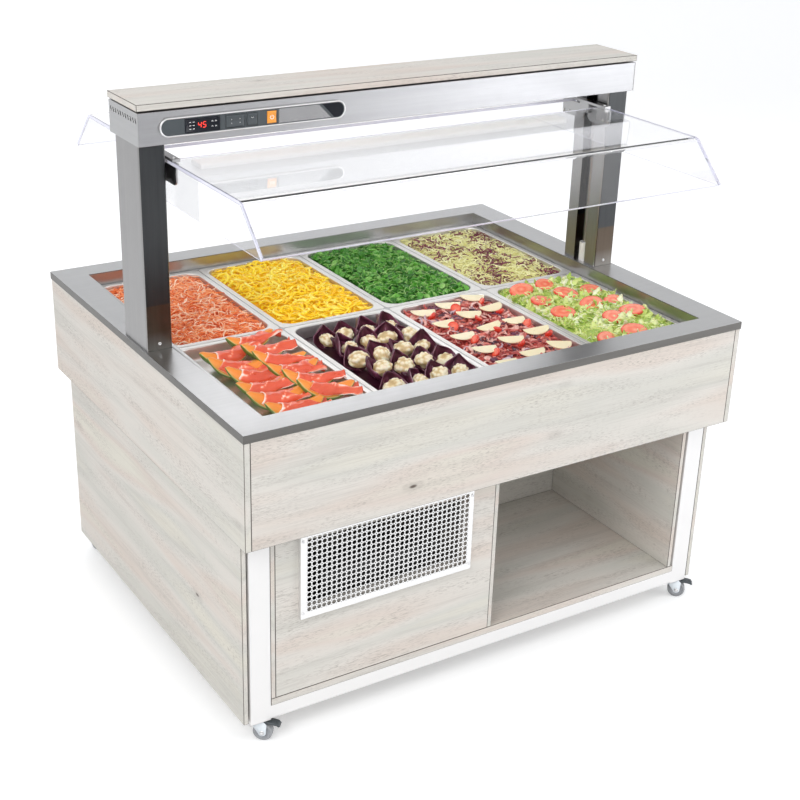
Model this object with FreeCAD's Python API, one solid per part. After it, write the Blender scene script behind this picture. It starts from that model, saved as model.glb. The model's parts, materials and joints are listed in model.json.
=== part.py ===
"""Refrigerated self-service salad bar on castors: worktop with sunken pan well, lifting canopy, cabinet.

Frame: origin on the floor under the middle, +X right along the front, +Y to the back, +Z up. Millimetres.
"""
import FreeCAD, Part
import math
import os

V = FreeCAD.Vector
X, Y, Z = V(1, 0, 0), V(0, 1, 0), V(0, 0, 1)

# ---- driving sizes ---------------------------------------------------------------------------------------
# gastronorm 1/1 pans and the well they hang in
PAN_LENGTH, PAN_WIDTH = 530.0, 325.0            # along Y, along X
PAN_COLUMNS, PAN_ROWS = 4, 2
PAN_DEPTH, TRAY_DEPTH = 100.0, 40.0
PAN_RIM, PAN_WALL, PAN_CORNER, PAN_TAPER = 14.0, 1.5, 42.0, 8.0
PAN_PLAY = 3.0                                  # free space beside each pan
WELL_PLAY_X, WELL_PLAY_Y = 2.0, 6.0             # what is left over along the well
WELL_LEDGE, WELL_SHEET = 12.0, 2.0              # ledge that carries the outer rims
WELL_DROP, WELL_DEPTH = 37.0, 190.0             # worktop to ledge, worktop to floor of the well
BAR_HEIGHT = 6.0
DRAIN_RADIUS, DRAIN_WALL, DRAIN_REACH = 16.0, 2.0, 26.0    # reach: pipe end below the tank

# worktop and outer box
WORKTOP_HEIGHT = 880.0
RIM_SIDE, RIM_FRONT = 86.0, 74.0                # width of the flat rim around the opening
EDGE_HEIGHT, TOP_SHEET = 21.0, 2.0
APRON_DROP, APRON_THICK = 296.0, 16.0           # worktop to the aprons' lower edge
TANK_DROP, TANK_GAP, TANK_SHEET = 284.0, 5.0, 2.0    # worktop to the tank's floor, apron to its wall

# cabinet below
LEG, LEG_WALL, LEG_BOTTOM = 56.0, 2.0, 60.0
LEG_SETBACK_X, LEG_SETBACK_Y = 35.0, 55.0       # worktop edge to the legs' outer faces
PANEL_THICK, SIDE_REVEAL = 13.0, 4.0            # laminate boards, dark gap beside the legs
RAIL, RAIL_RELIEF = 30.0, 1.0                   # top rails, and their space beside the lift tubes
FLOOR_BOTTOM, FLOOR_THICK = 101.0, 20.0
BOTTOM_RAIL_LIFT, BOTTOM_RAIL_THICK = 3.0, 10.0
PANEL_BOTTOM, SIDE_PANEL_SETBACK = 66.0, 4.0
RIGHT_PANEL_INSET, DIVIDER_X, PARTITION_Y = 21.0, -5.5, -10.0
GRILLE_INSET, GRILLE_WIDTH, GRILLE_HEIGHT, GRILLE_DROP = 75.5, 496.5, 233.3, 1.0
GRILLE_STAND, GRILLE_SHEET = 13.0, 1.5
GRILLE_PITCH, GRILLE_HOLE, GRILLE_MARGIN = 41.1, 16.0, 25.0
REAR_SLOTS, REAR_SLOT_HEIGHT = 9, 10.0
SCREW_RADIUS, SCREW_HEAD, SCREW_INSET, SCREW_LIFT = 4.0, 2.0, 6.0, 18.0

# posts, beam and shelf
POST_WIDTH, POST_DEPTH, POST_WALL, POST_CORNER = 67.6, 141.4, 2.0, 5.0
POST_HEIGHT, POST_INSET, POST_SCREW_LIFT = 517.0, 5.7, 17.0    # inset: worktop edge to post
SLOT_WIDTH = 48.0
BEAM_HEIGHT, BEAM_DEPTH, BEAM_INSET, BEAM_WALL = 79.0, 175.4, 0.3, 2.0
VENT_COUNT, VENT_PITCH, VENT_WIDTH, VENT_HEIGHT, VENT_LEAN = 11, 15.0, 6.0, 11.0, 5.0
VENT_DROP = 20.0                                # beam top to the vents' middle
SHELF_GAP, SHELF_THICK, SHELF_OVERHANG_X, SHELF_OVERHANG_Y = 4.0, 16.0, 2.3, 1.3
SPACER_WIDTH, SPACER_REACH = 50.0, 0.8          # reach: the outer spacers' share of the way to the ends
LAMP_INSET, LAMP_DEPTH, LAMP_HEIGHT = 182.7, 60.0, 12.0

# control panel on the beam's front; spans are measured from the pill's left end
PILL_INSET, PILL_LENGTH, PILL_HEIGHT, PILL_STAND = 51.7, 496.0, 46.0, 6.0
BEZEL, BEZEL_STAND, PILL_MIDDLE_DROP = 4.0, 7.0, 39.0
DISPLAY_SPAN, DISPLAY_HEIGHT, DISPLAY_STAND = (63.0, 153.0), 34.0, 8.0
ROCKER_SPANS = {"lift_rocker": (168.0, 219.0), "lamp_rocker": (223.0, 252.0),
                "power_rocker": (277.0, 303.0)}
ROCKER_HEIGHT, ROCKER_PROUD, ROCKER_SLACK, ROCKER_BACK, ROCKER_DISH = 31.0, 3.0, 0.8, 4.0, 1.5
ROCKER_SEAT = 0.3                               # beam face to the rocker's round back

# canopy
CANOPY_GAP, GUARD_THICK, CHEEK_THICK = 8.0, 8.0, 7.0    # gap: canopy to post
GUARD_DROP, LIP_DROP = 43.0, 100.4              # beam to guard top, guard top to lip
GUARD_INNER, BEND_SETBACK, LIP_SETBACK, BEND_ROUND = 62.0, 160.0, 59.5, 24.0
BRACKET_BAR_WIDTH, BRACKET_BAR_HALF, BRACKET_BAR_THICK = 20.0, 92.0, 7.0
BRACKET_PLATE_Y, BRACKET_PLATE_DROP, BRACKET_PLATE_THICK = (8.0, 105.0), 47.0, 4.0
BRACKET_SCREWS, BRACKET_SCREW_DROP, BAR_SCREW_INSET = (6.0, 28.0), 32.0, 15.0
ARM_WIDTH, ARM_DROP, ARM_CLEARANCE = 40.0, 24.0, 1.0
ROD_RADIUS, ROD_INSET, TUBE_WALL, ROD_CLEARANCE = 8.0, 20.3, 8.5, 0.3    # inset: post face to rod
CLOSED_GAP, ROD_ENGAGED, TUBE_ABOVE = 2.94, 30.0, 55.0    # gap: lowered guard to worktop
TUBE_SPARE, TUBE_FLOOR, GEARBOX_HEIGHT, GEARBOX_SIZE = 20.0, 5.0, 75.0, 44.0

# condensing unit
CONDENSER_INSET, CONDENSER_WIDTH, CONDENSER_DEPTH, CONDENSER_HEIGHT = 172.0, 300.0, 60.0, 280.0
CONDENSER_SETBACK, FIN_SLOTS, FIN_SLOT, FIN_DEPTH, FIN_EDGE = 50.0, 9, 10.0, 20.0, 15.0
SHROUD_DEPTH, FAN_RADIUS, FAN_CLEARANCE, FAN_HUB = 50.0, 115.0, 6.0, 22.0
FAN_BLADES, FAN_PITCH_ANGLE, FAN_SHAFT, FAN_SETBACK = 5, 28.0, 4.0, 12.0
HUB_LENGTH, BLADE_WIDTH, BLADE_THICK, BLADE_ROOT = 26.0, 40.0, 2.0, 4.0
MOTOR_RADIUS, MOTOR_LENGTH, SPOKE_HEIGHT, SPOKE_THICK, SPOKE_REST = 38.0, 60.0, 20.0, 5.0, 12.0
COMPRESSOR_Y, COMPRESSOR_RADIUS, COMPRESSOR_HEIGHT, COMPRESSOR_CROWN = 60.0, 85.0, 214.0, 36.0
FOOT_HALF_X, FOOT_HALF_Y, FOOT_HEIGHT = 95.0, 60.0, 16.0
COIL_LENGTH, COIL_WIDTH, COIL_HEIGHT, COIL_Y = 420.0, 150.0, 32.0, 40.0

# castors: wheel, trail and the heading of each fork
WHEEL_RADIUS, WHEEL_WIDTH, TRAIL, AXLE_RADIUS, AXLE_CLEARANCE = 25.0, 22.0, 18.0, 4.0, 0.05
FORK_SHEET, FORK_SIDE_GAP, CROWN_HALF, CROWN_THICK = 2.5, 1.5, 15.0, 3.0
FORK_BACK, FORK_NOSE, FORK_FOOT, NOSE_DROP, BACK_DROP = 8.0, 12.0, 9.0, 14.0, 12.0
HEAD_RADIUS, HEAD_HEIGHT, STEM_RADIUS, SWIVEL_GAP, AXLE_PROUD = 22.0, 6.0, 5.0, 0.3, 1.5
CASTOR_TOP = 70.0
CASTORS = {"front_left": (-1, -1, -41.0), "front_right": (1, -1, -41.0),
           "rear_left": (-1, 1, 92.0), "rear_right": (1, 1, 78.0)}
PEDAL_LENGTH, PEDAL_THICK, PEDAL_TIP, PEDAL_PIVOT_RADIUS = 34.0, 5.0, 8.0, 4.0
PEDAL_TRAIL, PEDAL_DROP, PEDAL_SIDE_GAP, PEDAL_SLOPE = 8.0, 10.0, 0.3, 2.0
PEDAL_NOSE, PEDAL_UNDERCUT, PAD_INSET = 3.0, 4.0, 1.0    # nose: tip beyond the pad's flat

# ---- derived sizes ---------------------------------------------------------------------------------------
WELL_X = (PAN_COLUMNS * (PAN_WIDTH + PAN_PLAY) + WELL_PLAY_X) / 2
WELL_Y = (PAN_ROWS * (PAN_LENGTH + PAN_PLAY) + WELL_PLAY_Y) / 2
TOP_X, TOP_Y = WELL_X + RIM_SIDE, WELL_Y + RIM_FRONT
UNDER_TOP = WORKTOP_HEIGHT - TOP_SHEET
APRON_X, APRON_Y = TOP_X - TOP_SHEET, TOP_Y - TOP_SHEET
TANK_X, TANK_Y = APRON_X - APRON_THICK - TANK_GAP, APRON_Y - APRON_THICK - TANK_GAP
LEDGE_Z, WELL_FLOOR = WORKTOP_HEIGHT - WELL_DROP, WORKTOP_HEIGHT - WELL_DEPTH
CABINET_TOP, APRON_BOTTOM = WORKTOP_HEIGHT - TANK_DROP, WORKTOP_HEIGHT - APRON_DROP
LEG_X, LEG_Y = TOP_X - LEG_SETBACK_X, TOP_Y - LEG_SETBACK_Y     # outer faces of the legs
SIDE_INNER = LEG_X + SIDE_REVEAL
BOARD_BOTTOM, BOARD_TOP = FLOOR_BOTTOM + FLOOR_THICK, CABINET_TOP - RAIL
LEG_INNER_X, LEG_INNER_Y = LEG_X - LEG, LEG_Y - LEG
LEFT_PANEL_X, RIGHT_PANEL_X = -LEG_INNER_X, LEG_INNER_X - RIGHT_PANEL_INSET     # lowest x of each board
GRILLE_X = (LEFT_PANEL_X + GRILLE_INSET, LEFT_PANEL_X + GRILLE_INSET + GRILLE_WIDTH)
GRILLE_Z = (BOARD_TOP - GRILLE_DROP - GRILLE_HEIGHT, BOARD_TOP - GRILLE_DROP)
POST_OUTER_X = TOP_X - POST_INSET
POST_INNER_X = POST_OUTER_X - POST_WIDTH
BEAM_X, BEAM_BOTTOM = TOP_X - BEAM_INSET, WORKTOP_HEIGHT + POST_HEIGHT
BEAM_TOP = BEAM_BOTTOM + BEAM_HEIGHT
BEAM_FACE = -BEAM_DEPTH / 2
SHELF_X, SHELF_Y = BEAM_X + SHELF_OVERHANG_X, BEAM_DEPTH / 2 + SHELF_OVERHANG_Y
PILL_Z = BEAM_TOP - PILL_MIDDLE_DROP
PILL_X = (PILL_INSET - BEAM_X, PILL_INSET - BEAM_X + PILL_LENGTH)
CANOPY_HALF = POST_INNER_X - CANOPY_GAP
GUARD_TOP = BEAM_BOTTOM - GUARD_DROP
GUARD_UNDER = GUARD_TOP - GUARD_THICK
GUARD_BEND, GUARD_LIP_Y, GUARD_LIP_Z = TOP_Y - BEND_SETBACK, TOP_Y - LIP_SETBACK, GUARD_TOP - LIP_DROP
LIP_SLOPE = math.atan2(LIP_DROP, GUARD_LIP_Y - GUARD_BEND)
LIFT_TRAVEL = GUARD_LIP_Z - GUARD_THICK * math.cos(LIP_SLOPE) - CLOSED_GAP - WORKTOP_HEIGHT
ROD_X = POST_INNER_X + ROD_INSET
TUBE_RADIUS = ROD_RADIUS + ROD_CLEARANCE + TUBE_WALL
ROD_BOTTOM = WORKTOP_HEIGHT + TUBE_ABOVE - ROD_ENGAGED
TUBE_BOTTOM = ROD_BOTTOM - LIFT_TRAVEL - TUBE_SPARE
CONDENSER_X = (LEFT_PANEL_X + CONDENSER_INSET, LEFT_PANEL_X + CONDENSER_INSET + CONDENSER_WIDTH)
CONDENSER_Y = (CONDENSER_SETBACK - LEG_Y, CONDENSER_SETBACK - LEG_Y + CONDENSER_DEPTH)
REAR_SLOT_PITCH = (GRILLE_HEIGHT - 2 * GRILLE_MARGIN) / REAR_SLOTS

NEAR = 0.01    # closeness by which an edge or a face is picked out


def block(x, y, z):
    """Box between two x, two y and two z values."""
    return Part.makeBox(x[1] - x[0], y[1] - y[0], z[1] - z[0], V(x[0], y[0], z[0]))


def sym(half):
    """Span of a size centred on zero."""
    return (-half, half)


def screw(at, direction):
    """Hexagon screw head standing on a face."""
    side = X if abs(direction.x) < 0.5 else Y
    up = direction.cross(side)
    angles = [math.radians(60 * k) for k in range(6)]
    outline = [(side * math.cos(a) + up * math.sin(a)) * SCREW_RADIUS for a in angles]
    return prism(outline, at, direction * SCREW_HEAD)


def both_x(shape):
    """A piece and its mirror image on the other side."""
    return Part.makeCompound([shape, shape.mirror(V(0, 0, 0), X)])


def save(name, shape):
    """Write one sub-part."""
    shape.exportStep("parts/" + name + ".step")


def prism(points, start, direction):
    """Closed outline of straight edges, carried along a direction."""
    outline = [start + p for p in points]
    return Part.Face(Part.makePolygon(outline + outline[:1])).extrude(direction)


def edges_along(shape, axis):
    """Edges of a shape that run along an axis."""
    return [e for e in shape.Edges if abs(e.tangentAt(e.FirstParameter).dot(axis)) > 1 - NEAR]


def rounded_outline(half_x, half_y, radius, z):
    """Wire of a rectangle with round corners at height z."""
    solid = block(sym(half_x), sym(half_y), (z, z + 1.0))
    solid = solid.makeFillet(radius, edges_along(solid, Z))
    return [f for f in solid.Faces if f.CenterOfMass.z < z + NEAR][0].OuterWire


def pill(x, z, height, y, depth):
    """Bar with full-round ends, flat on the XZ plane and depth thick towards the front."""
    r = height / 2
    middle = block((x[0] + r, x[1] - r), (y - depth, y), (z - r, z + r))
    ends = [Part.makeCylinder(r, depth, V(end, y, z), -Y) for end in (x[0] + r, x[1] - r)]
    return middle.fuse(ends).removeSplitter()


# ---- worktop, well and outer box -------------------------------------------------------------------------
def worktop():
    """Folded steel frame with the well opening and a hole for each lift tube."""
    body = block(sym(TOP_X), sym(TOP_Y), (WORKTOP_HEIGHT - EDGE_HEIGHT, WORKTOP_HEIGHT))
    body = body.cut(block(sym(TOP_X - TOP_SHEET), sym(TOP_Y - TOP_SHEET), (0, UNDER_TOP)))
    body = body.cut(block(sym(WELL_X), sym(WELL_Y), (0, WORKTOP_HEIGHT + 1)))
    return body.cut(lift_holes(TUBE_RADIUS))


def lift_holes(radius):
    """Round shafts where the two lift tubes stand."""
    hole = Part.makeCylinder(radius, WORKTOP_HEIGHT, V(ROD_X, 0, 0))
    return both_x(hole)


def well_solid(grow):
    """Stepped space of the well, grown outwards by a sheet thickness."""
    upper = block(sym(WELL_X + grow), sym(WELL_Y + grow), (LEDGE_Z - grow, UNDER_TOP))
    lower = block(sym(WELL_X - WELL_LEDGE + grow), sym(WELL_Y - WELL_LEDGE + grow),
                  (WELL_FLOOR - grow, UNDER_TOP))
    return upper.fuse(lower)


def drain_pipe(radius):
    """Pipe or its hole, straight down from the middle of the well."""
    bottom = CABINET_TOP - DRAIN_REACH
    return Part.makeCylinder(radius, WELL_FLOOR - bottom, V(0, 0, bottom))


def well_liner():
    """Stepped inner tank with a ledge for the pan rims and a drain pipe in its floor."""
    body = well_solid(WELL_SHEET).fuse(drain_pipe(DRAIN_RADIUS))
    body = body.cut(well_solid(0.0))
    return body.cut(drain_pipe(DRAIN_RADIUS - DRAIN_WALL))


def foam_ring(inner_x, inner_y, z):
    """Four foam boards round the liner: two long sides and two ends, which the lift tubes pass."""
    x, y = TANK_X - TANK_SHEET, TANK_Y - TANK_SHEET
    side = block(sym(x), (inner_y, y), z)
    end = block((inner_x, x), sym(inner_y), z).cut(lift_holes(TUBE_RADIUS))
    return [side, side.mirror(V(0, 0, 0), Y), end, end.mirror(V(0, 0, 0), X)]


def insulation():
    """Foam boards between the liner and the outer shell: a floor, a ring below the ledge, one above."""
    ledge, floor = LEDGE_Z - WELL_SHEET, WELL_FLOOR - WELL_SHEET
    inner_x, inner_y = WELL_X + WELL_SHEET, WELL_Y + WELL_SHEET
    board = block(sym(TANK_X - TANK_SHEET), sym(TANK_Y - TANK_SHEET), (CABINET_TOP + TANK_SHEET, floor))
    boards = [board.cut(drain_pipe(DRAIN_RADIUS)).cut(lift_holes(TUBE_RADIUS))]
    boards += foam_ring(inner_x - WELL_LEDGE, inner_y - WELL_LEDGE, (floor, ledge))
    return Part.makeCompound(boards + foam_ring(inner_x, inner_y, (ledge, UNDER_TOP)))


def tank_shell():
    """Open-topped outer tank of thin sheet."""
    body = block(sym(TANK_X), sym(TANK_Y), (CABINET_TOP, UNDER_TOP))
    body = body.cut(block(sym(TANK_X - TANK_SHEET), sym(TANK_Y - TANK_SHEET),
                          (CABINET_TOP + TANK_SHEET, WORKTOP_HEIGHT)))
    return body.cut(lift_holes(TUBE_RADIUS)).cut(drain_pipe(DRAIN_RADIUS))


def pan_centres():
    """Name and centre of each pan, front row first, left to right."""
    for row in range(PAN_ROWS):
        for column in range(PAN_COLUMNS):
            x = (column - (PAN_COLUMNS - 1) / 2) * (PAN_WIDTH + PAN_PLAY)
            y = (row - (PAN_ROWS - 1) / 2) * (PAN_LENGTH + PAN_PLAY)
            yield "pan_" + ("front", "rear")[row] + "_" + str(column + 1), x, y


def pan_bars():
    """Lattice of bars between the pans, level with the ledge."""
    z = (LEDGE_Z - BAR_HEIGHT, LEDGE_Z)
    length_x, length_y = WELL_X - WELL_LEDGE, WELL_Y - WELL_LEDGE
    half = PAN_RIM - PAN_PLAY
    bars = block(sym(length_x), sym(half), z)
    for column in range(1, PAN_COLUMNS):
        x = (column - PAN_COLUMNS / 2) * (PAN_WIDTH + PAN_PLAY)
        bars = bars.fuse(block((x - half, x + half), sym(length_y), z))
    return bars.removeSplitter()


def pan(x, y, depth):
    """Drawn pan: flat rim, walls that taper inwards, round corners."""
    half_x, half_y = PAN_WIDTH / 2 - PAN_RIM, PAN_LENGTH / 2 - PAN_RIM
    taper = PAN_TAPER * depth / PAN_DEPTH

    def bowl(inset, floor):
        top = rounded_outline(half_x - inset, half_y - inset, PAN_CORNER - inset, LEDGE_Z)
        low = rounded_outline(half_x - inset - taper, half_y - inset - taper,
                              PAN_CORNER - inset - taper / 2, floor)
        return Part.makeLoft([low, top], True, True)

    outline = rounded_outline(PAN_WIDTH / 2, PAN_LENGTH / 2, PAN_RIM, LEDGE_Z)
    rim = Part.Face(outline).extrude(V(0, 0, PAN_WALL))
    mouth = Part.Face(rounded_outline(half_x - PAN_WALL, half_y - PAN_WALL, PAN_CORNER - PAN_WALL, LEDGE_Z))
    body = bowl(0.0, LEDGE_Z + PAN_WALL - depth).fuse(rim)
    body = body.cut(bowl(PAN_WALL, LEDGE_Z + 2 * PAN_WALL - depth))
    body = body.cut(mouth.extrude(V(0, 0, 2 * PAN_WALL)))
    body.translate(V(x, y, 0))
    return body


def aprons():
    """Boards hung under the worktop's folded edge: front and rear, left and right."""
    z = (APRON_BOTTOM, UNDER_TOP)
    side = block((APRON_X - APRON_THICK, APRON_X), sym(APRON_Y), z)
    front = block(sym(APRON_X - APRON_THICK), (-APRON_Y, APRON_THICK - APRON_Y), z)
    save("aprons_front_rear", Part.makeCompound([front, front.mirror(V(0, 0, 0), Y)]))
    save("aprons_left_right", both_x(side))


# ---- cabinet ---------------------------------------------------------------------------------------------
def corners(shape):
    """A piece of the right rear corner in all four corners, as one fused solid per corner."""
    right = [shape, shape.mirror(V(0, 0, 0), Y)]
    return right + [s.mirror(V(0, 0, 0), X) for s in right]


def castor_head(leg_floor):
    """Round head of a castor under its plate in the right rear leg, bored for the fork's stem."""
    return Part.makeCylinder(HEAD_RADIUS, HEAD_HEIGHT, leg_floor - Z * HEAD_HEIGHT)


def base_frame():
    """Welded frame: four square-tube legs with castor plates and heads inside, bottom rails, top rails."""
    tube = block((LEG_INNER_X, LEG_X), (LEG_INNER_Y, LEG_Y), (LEG_BOTTOM, CABINET_TOP))
    inside = block((LEG_INNER_X + LEG_WALL, LEG_X - LEG_WALL), (LEG_INNER_Y + LEG_WALL, LEG_Y - LEG_WALL),
                   (0, CABINET_TOP - LEG_WALL))
    plate = block((LEG_INNER_X + LEG_WALL, LEG_X - LEG_WALL), (LEG_INNER_Y + LEG_WALL, LEG_Y - LEG_WALL),
                  (CASTOR_TOP, CASTOR_TOP + LEG_WALL))
    axis = V(LEG_X - LEG / 2, LEG_Y - LEG / 2, CASTOR_TOP)
    stem = Part.makeCylinder(STEM_RADIUS + AXLE_CLEARANCE, CASTOR_TOP, axis - Z * (CASTOR_TOP / 2))
    leg = tube.cut(inside).fuse([plate, castor_head(axis)]).cut(stem)
    low = (LEG_BOTTOM + BOTTOM_RAIL_LIFT, FLOOR_BOTTOM)
    long_rail = block(sym(LEG_INNER_X), (LEG_Y - BOTTOM_RAIL_THICK, LEG_Y), low)
    end_rail = block((LEG_X - 2 * BOTTOM_RAIL_THICK, LEG_X - BOTTOM_RAIL_THICK), sym(LEG_INNER_Y), low)
    top = (BOARD_TOP, CABINET_TOP)
    long_top = block(sym(LEG_INNER_X), (LEG_Y - RAIL, LEG_Y), top)
    end_top = block((LEG_INNER_X, ROD_X - TUBE_RADIUS - RAIL_RELIEF), sym(LEG_INNER_Y), top)
    pieces = corners(leg)
    for rail in (long_rail, long_top):
        pieces += [rail, rail.mirror(V(0, 0, 0), Y)]
    for rail in (end_rail, end_top):
        pieces += [rail, rail.mirror(V(0, 0, 0), X)]
    return pieces[0].fuse(pieces[1:]).removeSplitter()


def floor_board():
    """Laminate floor with its corners notched round the legs."""
    board = block(sym(SIDE_INNER), sym(LEG_Y), (FLOOR_BOTTOM, BOARD_BOTTOM))
    notch = block((LEG_INNER_X, SIDE_INNER + 1), (LEG_INNER_Y, LEG_Y + 1), (0, CABINET_TOP))
    return board.cut(corners(notch))


def upright(x):
    """Standing board from front to rear whose lowest x is given."""
    return block((x, x + PANEL_THICK), sym(LEG_Y), (BOARD_BOTTOM, BOARD_TOP))


def cabinet_boards():
    """Side panels, inner side panels, divider, partition, front vent panel and rear louvred panel."""
    side = block((SIDE_INNER, SIDE_INNER + PANEL_THICK), sym(LEG_Y - SIDE_PANEL_SETBACK),
                 (PANEL_BOTTOM, CABINET_TOP))
    save("side_panels", both_x(side))
    save("inner_panels", Part.makeCompound([upright(LEFT_PANEL_X), upright(RIGHT_PANEL_X)]))
    save("divider", upright(DIVIDER_X))
    divider_end = DIVIDER_X + PANEL_THICK
    save("partition", block((divider_end, RIGHT_PANEL_X), (PARTITION_Y, PARTITION_Y + PANEL_THICK),
                            (BOARD_BOTTOM, BOARD_TOP)))
    x = (LEFT_PANEL_X + PANEL_THICK, DIVIDER_X)
    front = block(x, (-LEG_Y, PANEL_THICK - LEG_Y), (BOARD_BOTTOM, BOARD_TOP))
    window = block((GRILLE_X[0] + GRILLE_MARGIN, GRILLE_X[1] - GRILLE_MARGIN), sym(TOP_Y),
                   (GRILLE_Z[0] + GRILLE_MARGIN, GRILLE_Z[1] - GRILLE_MARGIN))
    save("vent_panel", front.cut(window))
    rear = block(x, (LEG_Y - PANEL_THICK, LEG_Y), (BOARD_BOTTOM, BOARD_TOP))
    for number in range(REAR_SLOTS):
        z = GRILLE_Z[0] + GRILLE_MARGIN + number * REAR_SLOT_PITCH
        rear = rear.cut(block((GRILLE_X[0] + GRILLE_MARGIN, GRILLE_X[1] - GRILLE_MARGIN), sym(TOP_Y),
                              (z, z + REAR_SLOT_HEIGHT)))
    save("rear_panel", rear)


def vent_grille():
    """Folded tray with rows of holes, screwed over the window of the vent panel."""
    y = (-LEG_Y - GRILLE_STAND, -LEG_Y)
    body = block(GRILLE_X, y, GRILLE_Z)
    body = body.cut(block((GRILLE_X[0] + GRILLE_SHEET, GRILLE_X[1] - GRILLE_SHEET),
                          (y[0] + GRILLE_SHEET, 0),
                          (GRILLE_Z[0] + GRILLE_SHEET, GRILLE_Z[1] - GRILLE_SHEET)))
    columns = int((GRILLE_X[1] - GRILLE_X[0] - 2 * GRILLE_MARGIN) / GRILLE_PITCH) + 1
    rows = int((GRILLE_Z[1] - GRILLE_Z[0] - 2 * GRILLE_MARGIN) / GRILLE_PITCH) + 1
    middle_x, middle_z = sum(GRILLE_X) / 2, sum(GRILLE_Z) / 2
    holes = []
    for row in range(rows):
        for column in range(columns):
            x = middle_x + (column - (columns - 1) / 2) * GRILLE_PITCH
            z = middle_z + (row - (rows - 1) / 2) * GRILLE_PITCH
            angles = [math.radians(60 * k) for k in range(6)]
            outline = [V(GRILLE_HOLE * math.cos(a), 0, GRILLE_HOLE * math.sin(a)) for a in angles]
            holes.append(prism(outline, V(x, y[0] - 1, z), Y * (2 + GRILLE_SHEET)))
    return body.cut(holes)


def fixing_screws():
    """Heads of the screws in the grille's corners and at the posts' feet."""
    heads = []
    for x in (GRILLE_X[0] + SCREW_INSET, GRILLE_X[1] - SCREW_INSET):
        for z in (GRILLE_Z[0] + SCREW_LIFT, GRILLE_Z[1] - SCREW_LIFT):
            heads.append(screw(V(x, -LEG_Y - GRILLE_STAND, z), -Y))
    for side in (-1, 1):
        for face in (-1, 1):
            at = V(side * (POST_OUTER_X - POST_WIDTH / 2), face * POST_DEPTH / 2,
                   WORKTOP_HEIGHT + POST_SCREW_LIFT)
            heads.append(screw(at, Y * face))
    return Part.makeCompound(heads)


# ---- condensing unit -------------------------------------------------------------------------------------
def condenser():
    """Finned core with grooves across its front."""
    low, high = BOARD_BOTTOM, BOARD_BOTTOM + CONDENSER_HEIGHT
    core = block(CONDENSER_X, CONDENSER_Y, (low, high))
    across = (CONDENSER_X[0] + FIN_EDGE, CONDENSER_X[1] - FIN_EDGE)
    for number in range(1, FIN_SLOTS + 1):
        z = low + number * CONDENSER_HEIGHT / (FIN_SLOTS + 1)
        core = core.cut(block(across, (CONDENSER_Y[0], CONDENSER_Y[0] + FIN_DEPTH),
                              (z - FIN_SLOT / 2, z + FIN_SLOT / 2)))
    return core


def fan_shroud(axis):
    """Square duct behind the condenser with a round mouth, motor on a spoke, shaft towards the front."""
    x, z = CONDENSER_X, (BOARD_BOTTOM, BOARD_BOTTOM + CONDENSER_HEIGHT)
    ring, back = FAN_RADIUS + FAN_CLEARANCE, axis + Y * SHROUD_DEPTH
    shroud = block(x, (axis.y, back.y), z).cut(Part.makeCylinder(ring, SHROUD_DEPTH, axis, Y))
    reach = ring + SPOKE_REST
    spoke = block((axis.x - reach, axis.x + reach), (back.y, back.y + SPOKE_THICK),
                  (axis.z - SPOKE_HEIGHT / 2, axis.z + SPOKE_HEIGHT / 2))
    motor_front = back + Y * SPOKE_THICK
    motor = Part.makeCylinder(MOTOR_RADIUS, MOTOR_LENGTH, motor_front, Y)
    shaft = Part.makeCylinder(FAN_SHAFT, FAN_SETBACK + HUB_LENGTH, motor_front, -Y)
    return shroud.fuse([spoke, motor, shaft]).removeSplitter()


def fan_blades(hub_end):
    """Hub bored for the motor shaft, with pitched blades; hub_end is its back end on the axis."""
    hub = Part.makeCylinder(FAN_HUB, HUB_LENGTH, hub_end, -Y)
    blades = []
    for number in range(FAN_BLADES):
        blade = block(sym(BLADE_WIDTH / 2), sym(BLADE_THICK / 2), (FAN_HUB - BLADE_ROOT, FAN_RADIUS))
        blade.rotate(V(0, 0, 0), Z, FAN_PITCH_ANGLE)
        blade.rotate(V(0, 0, 0), Y, 360.0 * number / FAN_BLADES)
        blade.translate(hub_end - Y * (HUB_LENGTH / 2))
        blades.append(blade)
    bore = Part.makeCylinder(FAN_SHAFT + AXLE_CLEARANCE, HUB_LENGTH, hub_end, -Y)
    return hub.fuse(blades).cut(bore)


def compressor():
    """Hermetic shell with a conical crown, standing on a foot plate."""
    at = V(sum(CONDENSER_X) / 2, COMPRESSOR_Y, BOARD_BOTTOM)
    shell = Part.makeCylinder(COMPRESSOR_RADIUS, COMPRESSOR_HEIGHT, at)
    top = [e for e in shell.Edges if e.CenterOfMass.z > at.z + COMPRESSOR_HEIGHT - COMPRESSOR_CROWN]
    foot = block((at.x - FOOT_HALF_X, at.x + FOOT_HALF_X), (at.y - FOOT_HALF_Y, at.y + FOOT_HALF_Y),
                 (at.z, at.z + FOOT_HEIGHT))
    return shell.makeChamfer(COMPRESSOR_CROWN, top).fuse(foot)


def condensing_unit():
    """Condenser, fan and compressor in the cabinet, and the cold coil in the well."""
    axis = V(sum(CONDENSER_X) / 2, CONDENSER_Y[1], BOARD_BOTTOM + CONDENSER_HEIGHT / 2)
    save("condenser", condenser())
    save("fan_shroud", fan_shroud(axis))
    save("fan_blades", fan_blades(axis + Y * (SHROUD_DEPTH - FAN_SETBACK)))
    save("compressor", compressor())
    save("evaporator", block(sym(COIL_LENGTH / 2), (COIL_Y, COIL_Y + COIL_WIDTH),
                             (WELL_FLOOR, WELL_FLOOR + COIL_HEIGHT)))


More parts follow.
